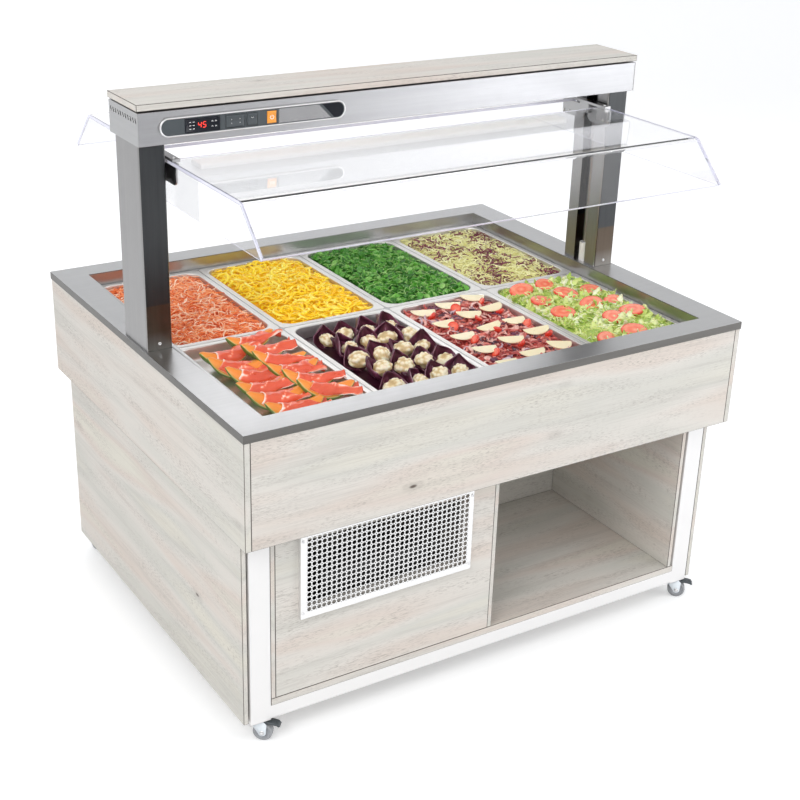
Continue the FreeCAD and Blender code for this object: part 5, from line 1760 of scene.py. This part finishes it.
@dataclass
class MixedSlices(Filling):
    """Pink shavings with rows of cream half-moons, tomato halves and dark cut leaves."""

    drop: float = 0.016
    crown: float = 0.006
    shavings: int = 620
    shreds: int = 240
    moon_columns: int = 3
    moon_rows: int = 5
    moon_radius: float = 0.037
    moon_thick: float = 0.0036

    def moons(self) -> tuple[Array, Array]:
        """Staggered lattice of the half-moons: places and turns."""
        half = self.half(self.drop) - 0.040
        column, row = np.meshgrid(np.arange(self.moon_columns), np.arange(self.moon_rows), indexing="ij")
        column, row, count = column.ravel() - 1, row.ravel() - 2, column.size
        x = column * half[0] * 0.92 + self.random.uniform(-0.005, 0.005, count)
        y = row * half[1] / 2.1 + column * 0.018 + self.random.uniform(-0.006, 0.006, count)
        yaw = self.random.uniform(-0.35, 0.15, count)
        turns = turning(yaw, self.random.uniform(-0.12, 0.12, count), self.random.uniform(0.10, 0.30, count))
        return np.stack([x, y, self.height(x, y) + 0.0155], -1), turns

    def build(self) -> None:
        """Bed, shavings, cut leaves, half-moons and tomato halves."""
        self.bed(Finish.SHAVED, 0.15)
        shapes = [leaf(0.034, 0.0075, 0.004, 0.004, 0.002), leaf(0.028, 0.006, -0.004, 0.003, 0.002),
                  strip(0.040, 0.007, 0.0016, 2.6, 0.006, 1.0)]
        spots = self.spots(self.shavings, 0.012, 0.002)
        self.put("shavings", self.strew(shapes, spots, 0.5, tones=self.random.uniform(0.1, 1.0, len(spots))),
                 Finish.SHAVED)
        places, turns = self.moons()
        moon = RoundSlices(self.moon_radius, self.moon_thick, 0.90, math.pi, math.pi, 16, 0.9, 0.9).build()
        self.put("half_moons", copies(moon, turns, places, self.random.uniform(0.6, 1.0, len(places))),
                 Finish.CHEESE)
        offset = np.array([0.012, -0.017, -0.001])
        half = revolved(np.array([(0.0, 0.0006), (0.008, 0.0), (0.0125, 0.0), (0.0135, -0.0012),
                                  (0.0115, -0.007), (0.006, -0.0105), (0.0, -0.0115)]), 16)
        half = replace(half, tone=np.repeat([0.60, 0.45, 0.25, 0.15, 0.1, 0.1, 0.1], 16))
        spread = self.random.uniform(-0.006, 0.006, (len(places), 3)) * np.array([1, 1, 0.3])
        lean = turning(self.random.uniform(0, 6, len(places)), self.random.uniform(0.5, 1.1, len(places)),
                       0.0, self.random.uniform(0.9, 1.15, len(places)))
        self.put("tomato_halves", copies(half, lean, places + offset + spread), Finish.TOMATO)
        spots = self.spots(self.shreds, 0.014, 0.004)
        shapes = [leaf(0.030, 0.006, 0.006, 0.006, 0.003), strip(0.034, 0.005, 0.0013, 2.2, 0.006, 1.2)]
        tones = self.random.uniform(0.25, 1.0, len(spots))
        wave = np.sin(spots[:, 0] * 70 + spots[:, 1] * 25) + np.sin(spots[:, 1] * 60)
        keep = wave > 0.1
        self.put("cut_leaves", self.strew(shapes, spots[keep], 0.7, tones=tones[keep]), Finish.RADICCHIO)


@dataclass
class LeavesWithTomato(Filling):
    """Pale torn lettuce with tomato slices laid on it in two slanting rows."""

    drop: float = 0.010
    crown: float = 0.012
    lump: float = 0.006
    pieces: int = 340
    frills: int = 420
    slice_radius: float = 0.0360
    slice_thick: float = 0.007

    def torn(self, number: int) -> Surface:
        """Torn piece of lettuce: a sheet whose border is ruffled by waves that grow outwards."""
        u, v = np.meshgrid(np.linspace(-1, 1, 8), np.linspace(-1, 1, 7), indexing="ij")
        x = 0.021 * u * (1 + 0.15 * np.sin(3 * v + number))
        y = 0.011 * v * (1 - 0.25 * u ** 2) * (1 + 0.2 * np.sin(4 * u + number))
        away = np.abs(v) ** 1.5 + 0.4 * np.abs(u) ** 3
        z = 0.0042 * away * np.sin(7 * u + 2.5 * v + number) + 0.004 * u ** 2
        return thickened(np.stack([x, y, z], -1), 0.0009, np.clip(0.72 - 0.32 * away + 0 * x, 0, 1))

    def build(self) -> None:
        """Bed, torn leaves, curly shreds and tomato slices."""
        self.bed(Finish.LETTUCE, 0.35)
        spots = self.spots(self.pieces, 0.014, 0.003)
        tones = self.random.uniform(0.25, 1.0, len(spots))
        self.put("torn_leaves", self.strew([self.torn(n) for n in range(4)], spots, 0.7, (0.8, 1.3), tones),
                 Finish.LETTUCE)
        spots = self.spots(self.frills, 0.012, 0.006)
        shapes = [strip(0.030, 0.0040, 0.0012, bend, 0.006, 2.0) for bend in (0.8, 1.9, 3.0)]
        self.put("frills", self.strew(shapes, spots, 0.6, tones=self.random.uniform(0.1, 0.95, len(spots))),
                 Finish.LETTUCE)
        half = self.half(self.drop) - 0.036
        column, row = np.meshgrid(np.array([-1.0, 0.05, 1.0]), np.arange(5), indexing="ij")
        x = column.ravel() * half[0] * 0.86 + self.random.uniform(-0.008, 0.008, 15)
        y = (row.ravel() - 2) * half[1] / 2.15 + column.ravel() * 0.014 + self.random.uniform(-0.01, 0.01, 15)
        keep = np.array([1, 0, 1, 1, 1, 1, 1, 1, 1, 1, 0, 1, 1, 1, 0], bool)
        slice_shape = RoundSlices(self.slice_radius, self.slice_thick, 0.72, skin=0.1, flesh=0.7).build()
        count = int(keep.sum())
        turns = turning(self.random.uniform(-0.6, 0.3, count), self.random.uniform(-0.15, 0.15, count),
                        self.random.uniform(0.15, 0.45, count), self.random.uniform(0.85, 1.08, count))
        places = np.stack([x, y, self.height(x, y) + 0.014], -1)[keep]
        self.put("tomato_slices", copies(slice_shape, turns, places), Finish.TOMATO)


# ---- canopy ------------------------------------------------------------------------------------------------


@dataclass
class Canopy:
    """Two bent acrylic guards and two end cheeks."""

    model: Model
    thick: float = 0.008
    bend_y: float = 0.450
    bend_round: float = 0.024
    lip: tuple[float, float] = (0.5505, 1.2536)
    edge: float = 0.0006

    def line(self, depth: float) -> Array:
        """Rear guard's section, as points from its inner edge over the bend to the lip.

        The bend is an arc whose centre lies below the sheet; a parallel line has the same centre.

        Args:
            depth: distance below the sheet's upper face.

        Returns:
            Rows of y and z.
        """
        low, high = self.model.low("guard_rear"), self.model.high("guard_rear")
        top = float(high[2])
        slope = math.atan2(top - self.lip[1], self.lip[0] - self.bend_y)
        back = self.bend_round * math.tan(slope / 2)
        centre = np.array([self.bend_y - back, top - self.bend_round])
        angle = np.linspace(0, slope, 9)
        arc = centre + (self.bend_round - depth) * np.stack([np.sin(angle), np.cos(angle)], -1)
        start = np.linspace([low[1], top - depth], arc[0], 4)[:-1]
        end = np.array(self.lip) - depth * np.array([math.sin(slope), math.cos(slope)])
        return np.concatenate([start, arc, np.linspace(arc[-1], end, 4)[1:]])

    def guard(self, node: str, side: float) -> None:
        """One bent sheet whose polished cut edges are painted pale and glowing.

        Args:
            node: the plain guard it stands for.
            side: plus one at the rear, minus one at the front.
        """
        upper, lower = self.line(0.0), self.line(self.thick)
        count = len(upper)
        outline = np.concatenate([upper, lower[::-1]]) * np.array([side, 1.0])
        x = np.array([self.model.low(node)[0], self.model.high(node)[0]])
        points = np.stack([np.stack([np.full(len(outline), v), outline[:, 0], outline[:, 1]], -1) for v in x])
        step = np.arange(2 * count)
        ahead = (step + 1) % (2 * count)
        sides = np.stack([step, ahead, ahead + 2 * count, step + 2 * count], -1)
        cut = (step == count - 1) | (step == 2 * count - 1)
        strip = np.arange(count - 1)
        cap = np.stack([strip, strip + 1, 2 * count - 2 - strip, 2 * count - 1 - strip], -1)
        caps = np.concatenate([cap[:, ::-1], cap + 2 * count])
        surface = Surface(points.reshape(-1, 3), [sides[~cut], sides[cut], caps], None, [0, 1, 1])
        piece = make("bent_" + node, surface, "canopy", [Finish.ACRYLIC, Finish.ACRYLIC_EDGE],
                     [node], weld=True, smooth=True)
        finish_edges(piece, self.edge, 2)

    def build(self) -> None:
        """Guards and cheeks."""
        self.guard("guard_front", -1.0)
        self.guard("guard_rear", 1.0)
        self.model.soften("end_cheeks", Finish.ACRYLIC, self.edge, 2, Finish.ACRYLIC_EDGE)


# ---- control panel -----------------------------------------------------------------------------------------


@dataclass
class ControlPanel:
    """Pill-shaped panel: bezel ring, dark plate, display with digits, rockers, dotted field and end cap."""

    model: Model
    bezel: float = 0.004
    stroke: float = 0.0022
    proud: float = 0.0004
    digit_height: float = 0.013
    digit_width: float = 0.0075
    digits: tuple[tuple[float, str], ...] = ((-0.5905, "4"), (-0.5785, "5"))
    segments: dict[str, str] = field(default_factory=lambda: {"4": "bcfg", "5": "acdfg"})
    dot_pitch: float = 0.0034
    dot_radius: float = 0.0009
    field_x: tuple[float, float, float] = (-0.383, -0.270, -0.235)
    cap_x: tuple[float, float, float] = (-0.262, -0.227, -0.2015)

    @property
    def face(self) -> float:
        """The plate's front, in Y."""
        return float(self.model.low("panel_plate")[1])

    @property
    def height(self) -> float:
        """The panel's middle, in Z."""
        return float(self.model.middle("panel_plate")[2])

    def plate(self, outline: Array, back: float, thick: float, chamfer: float = 0.0002) -> Surface:
        """Thin plate from an outline on the XZ plane, standing towards the front.

        Args:
            outline: rows of x and z, in order round the plate.
            back: y of its back.
            thick: how far it stands.
            chamfer: width of its slanted edge.

        Returns:
            The plate.
        """
        middle = outline.mean(0)
        inner = middle + (outline - middle) * (1 - chamfer / np.abs(outline - middle).max())
        rings = [(outline, back), (outline, back - thick + chamfer), (inner, back - thick)]
        return capped(np.stack([upright(ring, y) for ring, y in rings]))

    def ring(self) -> None:
        """Bezel with a rounded section, swept along the pill's outline."""
        low, high = self.model.low("panel_bezel"), self.model.high("panel_bezel")
        half_x, half_z = (high - low)[0] / 2, (high - low)[2] / 2
        turn = np.linspace(0, np.pi, 9)
        inset = self.bezel / 2 * (1 - np.cos(turn))
        y = low[1] + 0.0014 * (1 - np.sin(turn))
        inset = np.concatenate([[0.0], inset, [self.bezel]])
        y = np.concatenate([[high[1]], y, [high[1]]])
        outline = rounded_rectangle(half_x - inset, half_z - inset, half_z - inset, 16)
        middle = (low + high) / 2
        points = np.stack([outline[..., 0] + middle[0], np.broadcast_to(y[:, None], outline.shape[:2]),
                           outline[..., 1] + middle[2]], -1)
        surface = grid(points, close_u=True, close_v=True)
        make("bezel_ring", surface, "root", [Finish.BEZEL], ["panel_bezel"], weld=True)

    def bar(self, start: Sequence[float], end: Sequence[float], width: float, back: float) -> Surface:
        """Straight mark with pointed ends from one x, z to another."""
        a, b = np.array(start, float), np.array(end, float)
        along = (b - a) / np.linalg.norm(b - a)
        across = np.array([-along[1], along[0]]) * width / 2
        tip = along * width / 2
        outline = np.array([a - tip, a + across, b + across, b + tip, b - across, a - across])
        return self.plate(outline, back, self.proud, width * 0.12)

    def digit(self, x: float, figure: str, back: float) -> list[Surface]:
        """Seven-segment figure: each letter is one bar between two of six corner points."""
        w, h = self.digit_width / 2, self.digit_height / 2
        lean = 0.12
        corners = {"tl": (-w, h), "tr": (w, h), "ml": (-w, 0), "mr": (w, 0), "bl": (-w, -h), "br": (w, -h)}
        point = {name: (x + px + pz * lean, self.height + pz) for name, (px, pz) in corners.items()}
        bars = {"a": ("tl", "tr"), "b": ("tr", "mr"), "c": ("mr", "br"), "d": ("bl", "br"), "e": ("ml", "bl"),
                "f": ("tl", "ml"), "g": ("ml", "mr")}
        marks = []
        for letter in self.segments[figure]:
            a, b = (np.array(point[name]) for name in bars[letter])
            gap = (b - a) / np.linalg.norm(b - a) * self.stroke * 0.55
            marks.append(self.bar(a + gap, b - gap, self.stroke * 0.8, back))
        return marks

    def display(self) -> None:
        """Screen with a rounded frame, red figures and small marks."""
        low, high = self.model.low("display"), self.model.high("display")
        middle, half = (low + high) / 2, (high - low) / 2
        sizes = np.array([(0.0, high[1], 0.004), (0.0, low[1] + 0.001, 0.004),
                          (0.0006, low[1] + 0.0002, 0.0036), (0.0020, low[1], 0.003),
                          (0.0034, low[1] + 0.0008, 0.002)])
        outline = rounded_rectangle(half[0] - sizes[:, 0], half[2] - sizes[:, 0], sizes[:, 2], 5)
        points = np.stack([outline[..., 0] + middle[0], np.broadcast_to(sizes[:, 1, None], outline.shape[:2]),
                           outline[..., 1] + middle[2]], -1)
        make("display_body", capped(points), "root", [Finish.SCREEN], ["display"], weld=True)
        back = float(low[1]) + 0.0008
        figures = [mark for x, figure in self.digits for mark in self.digit(x, figure, back)]
        make("display_figures", joined(figures), "root", [Finish.DIGIT], smooth=False)
        marks = []
        for x in (-0.617, -0.608):
            for z in (-0.008, 0.0, 0.008):
                marks.append(self.bar((x, self.height + z), (x + 0.004, self.height + z), 0.0012, back))
        for x in (-0.558, -0.549):
            for z in (-0.006, 0.006):
                top = (x, self.height + z + 0.0015)
                for side in (-0.002, 0.002):
                    ends = sorted([(x + side, self.height + z - 0.001), top])
                    marks.append(self.bar(ends[0], ends[1], 0.0009, back))
        make("display_marks", joined(marks), "root", [Finish.ICON], smooth=False)

    def rocker(self, name: str, finish: Finish) -> tuple[Array, Array]:
        """Rocker with a dished face and rounded edges; gives its box back."""
        low, high = self.model.low(name), self.model.high(name)
        middle, half = (low + high) / 2, (high - low) / 2
        rows, columns = np.linspace(-1, 1, 17), np.linspace(-1, 1, 13)
        u, v = np.meshgrid(columns, rows, indexing="ij")
        edge = np.clip((np.maximum(np.abs(u), np.abs(v)) - 0.86) / 0.14, 0, 1)
        dish = 0.0015 * (1 - np.abs(v)) ** 1.3
        y = low[1] + dish + 0.0014 * edge ** 2
        front = np.stack([middle[0] + u * half[0], y, middle[2] + v * half[2]], -1)
        back = front.copy()
        back[..., 1] = high[1] - 0.0045
        border = np.concatenate([front[:, 0], front[-1, 1:], front[-2::-1, -1], front[0, -2:0:-1]])
        skirt = border.copy()
        skirt[:, 1] = high[1] - 0.0045
        surface = joined([grid(front), grid(back), grid(np.stack([border, skirt]), close_v=True)])
        make("cap_" + name, surface, name, [finish], [name], weld=True)
        return low, high

    def arrow(self, x: float, z: float, up: float, size: float, back: float) -> list[Surface]:
        """Chevron and stem that point up or down."""
        tip, foot = (x, z + up * size), (x, z - up * size)
        wing = size * 0.75
        return [self.bar(foot, tip, size * 0.3, back),
                self.bar(tip, (x - wing, z + up * size * 0.2), size * 0.3, back),
                self.bar(tip, (x + wing, z + up * size * 0.2), size * 0.3, back)]

    def rockers(self) -> None:
        """The three switches with their signs."""
        low, high = self.rocker("lift_rocker", Finish.DARK)
        x, back = (low + high)[0] / 2, float(low[1]) + 0.0012
        marks = []
        for side in (-0.011, 0.011):
            marks += self.arrow(x + side, self.height + 0.0075, 1.0, 0.0036, back)
            marks += self.arrow(x + side, self.height - 0.0075, -1.0, 0.0036, back)
        make("lift_signs", joined(marks), "lift_rocker", [Finish.ICON], smooth=False)
        low, high = self.rocker("lamp_rocker", Finish.DARK)
        x = float((low + high)[0] / 2)
        rays = []
        for angle in np.arange(8) * np.pi / 4:
            direction = np.array([math.cos(angle), math.sin(angle)])
            centre = np.array([x, self.height + 0.0072])
            rays.append(self.bar(centre + direction * 0.0028, centre + direction * 0.0046, 0.0008, back))
        circle = rounded_rectangle(0.0018, 0.0018, 0.0018, 3)[0] + np.array([x, self.height + 0.0072])
        rays.append(self.plate(circle, back, self.proud))
        rays.append(self.bar((x - 0.003, self.height - 0.008), (x + 0.003, self.height - 0.008), 0.0012,
                             back))
        make("lamp_signs", joined(rays), "lamp_rocker", [Finish.ICON], smooth=False)
        low, high = self.rocker("power_rocker", Finish.AMBER)
        x = float((low + high)[0] / 2)
        turn = np.radians(np.linspace(130, 410, 12))
        ring = np.stack([x + 0.0048 * np.cos(turn), self.height + 0.0048 * np.sin(turn)], -1)
        marks = [self.bar(a, b, 0.0012, back) for a, b in zip(ring[:-1], ring[1:])]
        marks.append(self.bar((x, self.height + 0.001), (x, self.height + 0.0062), 0.0012, back))
        make("power_signs", joined(marks), "power_rocker", [Finish.ICON], smooth=False)

    def dotted_field(self) -> None:
        """Dark field with rows of fine dots and a slanted end, and the dark cap beyond it."""
        half = float((self.model.high("panel_plate") - self.model.low("panel_plate"))[2] / 2) - 0.0012
        z, face = self.height, self.face
        left, top, bottom = self.field_x
        outline = np.array([(left, z - half), (bottom, z - half), (top, z + half), (left, z + half)])
        make("dotted_field", self.plate(outline, face, 0.0006), "root", [Finish.PANEL_GREY],
             smooth=False)
        rows = np.arange(-half + 0.002, half - 0.001, self.dot_pitch * 0.5)
        places = []
        for number, row in enumerate(rows):
            end = bottom + (top - bottom) * (row + half) / (2 * half) - 0.003
            x = np.arange(left + 0.003 + (number % 2) * self.dot_pitch / 2, end, self.dot_pitch)
            places.append(np.stack([x, np.full_like(x, face - 0.0005), np.full_like(x, z + row)], -1))
        places = np.concatenate(places)
        profile = np.array([(self.dot_radius, 0.0), (self.dot_radius * 0.8, -0.00022), (0.0, -0.0003)])
        dot = revolved(profile, 8, Axis.Y)
        dots = copies(dot, np.broadcast_to(np.eye(3), (len(places), 3, 3)), places)
        make("field_dots", dots, "root", [Finish.BEZEL], weld=True)
        start, foot, end = self.cap_x
        turn = np.linspace(-np.pi / 2, np.pi / 2, 15)
        arc = np.stack([end - half + half * np.cos(turn), z + half * np.sin(turn)], -1)
        outline = np.concatenate([[(foot, z - half)], arc, [(start, z + half)]])
        make("panel_end_cap", self.plate(outline, face, 0.0006), "root", [Finish.SCREEN],
             smooth=False)

    def build(self) -> None:
        """Every part of the panel."""
        self.model.soften("panel_plate", Finish.DARK, 0.0005)
        self.ring()
        self.display()
        self.rockers()
        self.dotted_field()


# ---- castors -----------------------------------------------------------------------------------------------


@dataclass
class Castor:
    """Swivel castor: ball-race head, pressed fork, bolt, two-tone wheel and, at the front, a brake pedal."""

    model: Model
    place: str
    radius: float = 0.025
    width: float = 0.022
    trail: float = 0.018
    leg_bottom: float = 0.060
    top: float = 0.070
    sheet: float = 0.0025
    gap: float = 0.0015
    crown: float = 0.0637
    ribs: int = 5
    rib_pitch: float = 0.0036
    shoulder: float = 0.0035

    @property
    def axis(self) -> Array:
        """Swivel axis where it meets the floor."""
        joint = self.joint("swivel_" + self.place)
        return np.array([joint["pos_m"][0], joint["pos_m"][1], 0.0])

    def joint(self, name: str) -> dict:
        """A joint of the record by its name."""
        return next(j for j in self.model.frame["record"]["behaviour"]["joints"] if j["name"] == name)

    @property
    def turn(self) -> Array:
        """Turn from the castor's own frame, heading along +X, to its heading: from swivel axis to axle."""
        axle = np.array(self.joint("wheel_spin_" + self.place)["pos_m"][:2]) - self.axis[:2]
        c, s = axle / np.linalg.norm(axle)
        return np.array([[c, -s, 0.0], [s, c, 0.0], [0.0, 0.0, 1.0]])

    def put(self, name: str, surface: Surface, body: str, finishes: Sequence[Finish], slot: str,
            replaces: Sequence[str] = ()) -> bpy.types.Object:
        """Makes a piece of this castor from a surface in the castor's own frame."""
        placed = surface.turned(self.turn).moved(self.axis)
        return make(name + "_" + self.place, placed, body, finishes, replaces, weld=True)

    def slab(self, outline: Array, y: tuple[float, float], round_edge: float = 0.0005) -> Surface:
        """Plate with rounded edges from an outline in the XZ plane, between two y values."""
        middle = outline.mean(0)
        share = round_edge / np.abs(outline - middle).max()
        steps = [(share, y[0]), (0.0, y[0] + round_edge), (0.0, y[1] - round_edge), (share, y[1])]
        rings = [middle + (outline - middle) * (1 - inset) for inset, _ in steps]
        return capped(np.stack([upright(ring, at) for ring, (_, at) in zip(rings, steps)]))

    def arc(self, centre: Sequence[float], radius: float, start: float, end: float, steps: int = 8) -> Array:
        """Points on an arc in the XZ plane, angles in degrees."""
        angle = np.radians(np.linspace(start, end, steps))
        return np.asarray(centre) + radius * np.stack([np.cos(angle), np.sin(angle)], -1)

    def head(self) -> None:
        """Ball-race head under the leg."""
        low, high = self.leg_bottom + 0.0005, self.top - 0.001
        profile = np.array([(0.0, high), (0.021, high), (0.0222, high - 0.001), (0.0222, low + 0.0032),
                            (0.0205, low + 0.0022), (0.0215, low + 0.0014), (0.0212, low + 0.0006),
                            (0.0, low)])
        profile[:, 1] = np.clip(profile[:, 1], self.crown + 0.0004, None)
        self.put("castor_race", revolved(profile, 36), "root", [Finish.ZINC], "zinc")

    def fork(self) -> None:
        """Crown plate, bent shoulders and two cheeks that narrow to round ends at the axle."""
        side = self.width / 2 + self.gap
        outer = side + self.sheet
        dome = np.array([(0.0, self.crown), (0.0150, self.crown), (0.0162, self.crown - 0.0008),
                         (0.0165, self.crown - 0.0030), (0.0, self.crown - 0.0030)])
        axle, nose = (self.trail, self.radius), 0.0098
        outline = np.concatenate([
            self.arc(axle, nose, -170, 8, 14), self.arc((self.trail + 0.003, 0.0460), 0.009, 10, 60, 5),
            [(0.0165, self.crown - 0.0006), (-0.0085, self.crown - 0.0006)],
            self.arc((-0.0068, self.crown - 0.0125), 0.0042, 160, 240, 5)])
        parts = [revolved(dome, 36)]
        for face in (-1, 1):
            y = sorted((face * side, face * outer))
            parts.append(self.slab(outline, (y[0], y[1]), 0.0007))
            bend = np.linspace(0, np.pi / 2, 6)
            r = self.sheet
            section = np.stack([outer - r + r * np.sin(bend), self.crown - r + r * np.cos(bend)], -1)
            foot = [(outer - r, self.crown - 0.0032), (side - 0.006, self.crown - 0.0032)]
            section = np.concatenate([[(side - 0.006, self.crown)], section, foot])
            x = np.array([-0.0085, -0.0078, 0.0155, 0.0163])
            shrink = np.array([0.9, 1.0, 1.0, 0.9])
            centre = section.mean(0)
            rings = [np.stack([np.full(len(section), at),
                               face * (centre[0] + (section[:, 0] - centre[0]) * k),
                               centre[1] + (section[:, 1] - centre[1]) * k], -1) for at, k in zip(x, shrink)]
            parts.append(capped(np.stack(rings)))
        self.put("fork", joined(parts), "fork_" + self.place, [Finish.ZINC], "zinc",
                 ["castor_fork_" + self.place])
        self.bolt(outer)

    def bolt(self, outer: float) -> None:
        """Axle with washer, hexagon head and nut."""
        parts = []
        for face in (-1, 1):
            washer = np.array([(0.0, 0.0), (0.0062, 0.0), (0.0064, 0.0003), (0.0062, 0.0009), (0.0, 0.0009)])
            hexagon = np.array([(0.0, 0.0009), (0.0042, 0.0009), (0.0045, 0.0012), (0.0045, 0.0030),
                                (0.0040, 0.0036), (0.0, 0.0036)])
            for profile, sides in ((washer, 24), (hexagon, 6)):
                placed = profile * np.array([1.0, face])
                parts.append(revolved(placed, sides, Axis.Y).moved((self.trail, face * outer, self.radius)))
        shaft = np.array([(0.0, -outer), (0.0038, -outer), (0.0038, outer), (0.0, outer)])
        parts.append(revolved(shaft, 20, Axis.Y).moved((self.trail, 0.0, self.radius)))
        self.put("axle_bolt", joined(parts), "fork_" + self.place, [Finish.BEZEL], "zinc")

    def wheel(self) -> None:
        """Tyre with round shoulders on a hub with a recessed web, a raised boss and a bore for the axle."""
        half, r = self.width / 2, self.radius
        curve = self.shoulder
        tyre = [(0.0188, -half + 0.0006), (r - curve, -half)]
        tyre += [(r - curve + curve * math.sin(t), -half + curve * (1 - math.cos(t)))
                 for t in np.radians(np.linspace(0, 90, 7))[1:]]
        section = np.array(tyre + [(radius, -y) for radius, y in tyre[::-1]])
        hub = np.array([(0.0042, -half + 0.0004), (0.0070, -half + 0.0004), (0.0078, -half + 0.0012),
                        (0.0084, -half + 0.0030), (0.0150, -half + 0.0034), (0.0176, -half + 0.0010),
                        (0.0188, -half + 0.0006)])
        web = np.concatenate([hub, (hub * np.array([1.0, -1.0]))[::-1]])
        at = (self.trail, 0.0, r)
        tread = revolved(section, 48, Axis.Y, close=True).moved(at)
        core = revolved(web, 48, Axis.Y, close=True).moved(at).painted(1)
        self.put("wheel", joined([tread, core]), "wheel_" + self.place, [Finish.TYRE, Finish.GREY_HUB],
                 "grey_tyre", ["castor_wheel_" + self.place])

    def pedal(self) -> None:
        """Brake lever: pin, curved arm and a ribbed pad turned down at its tip."""
        side = self.width / 2 + self.gap - 0.0004
        at = np.array([self.trail + 0.008, self.crown - 0.010])
        path = np.array([(-0.0015, 0.0028), (0.010, 0.0022), (0.022, 0.0008), (0.032, -0.0014),
                         (0.0368, -0.0075), (0.0335, -0.0088), (0.0295, -0.0062), (0.020, -0.0046),
                         (0.010, -0.0036), (0.0, -0.0036)])
        body = self.slab(path + at, (-side + 0.001, side - 0.001), 0.0012)
        pin = np.array([(0.0, -side), (0.0036, -side), (0.0040, -side + 0.0005), (0.0040, side - 0.0005),
                        (0.0036, side), (0.0, side)])
        parts = [body, revolved(pin, 20, Axis.Y).moved((at[0], 0.0, at[1]))]
        for number in range(self.ribs):
            x = 0.0165 + number * self.rib_pitch
            height = 0.0022 - 0.0001 - (x - 0.010) * 0.115
            rib = np.array([(x - 0.0007, height - 0.0012), (x + 0.0007, height - 0.0012),
                            (x + 0.0004, height + 0.0004), (x - 0.0004, height + 0.0004)])
            parts.append(self.slab(rib + at, (-side + 0.0028, side - 0.0028), 0.0002))
        self.put("pedal", joined(parts), "pedal_" + self.place, [Finish.DARK], "dark_plastic",
                 ["brake_pedal_" + self.place])

    def build(self) -> None:
        """All pieces of this castor."""
        self.head()
        self.fork()
        self.wheel()
        if self.place.startswith("front"):
            self.pedal()


def main() -> None:
    """Loads the frame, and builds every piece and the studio."""
    logging.basicConfig(level=logging.INFO, format="%(message)s")
    model = Model(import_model())
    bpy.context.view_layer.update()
    Studio().build()
    Body(model).build()
    Grille(model).build()
    Screws(model).build()
    for node in sorted(n for n in model.frame["nodes"] if n.startswith("pan_") and n != "pan_bars"):
        Pan(model, node).build()
    MelonWithHam(Pan(model, "pan_front_1"), 21).build()
    CupsWithFlorets(Pan(model, "pan_front_2"), 22).build()
    MixedSlices(Pan(model, "pan_front_3"), 23).build()
    LeavesWithTomato(Pan(model, "pan_front_4"), 24).build()
    Shreds(Pan(model, "pan_rear_1"), 11, finish=Finish.CARROT).build()
    Shreds(Pan(model, "pan_rear_2"), 12, finish=Finish.PASTA, count=760, length=0.060, width=0.0066,
           thick=0.0018, bends=(1.2, 2.6, 4.2, 5.6), arch=0.006, steps=10, layer=0.008).build()
    SmallLeaves(Pan(model, "pan_rear_3"), 13).build()
    Shreds(Pan(model, "pan_rear_4"), 14, finish=Finish.CABBAGE, count=1300, length=0.034, width=0.0030,
           thick=0.0014, second=0.36).build()
    Canopy(model).build()
    ControlPanel(model).build()
    for place in ("front_left", "front_right", "rear_left", "rear_right"):
        Castor(model, place).build()


if __name__ == "__main__":
    main()
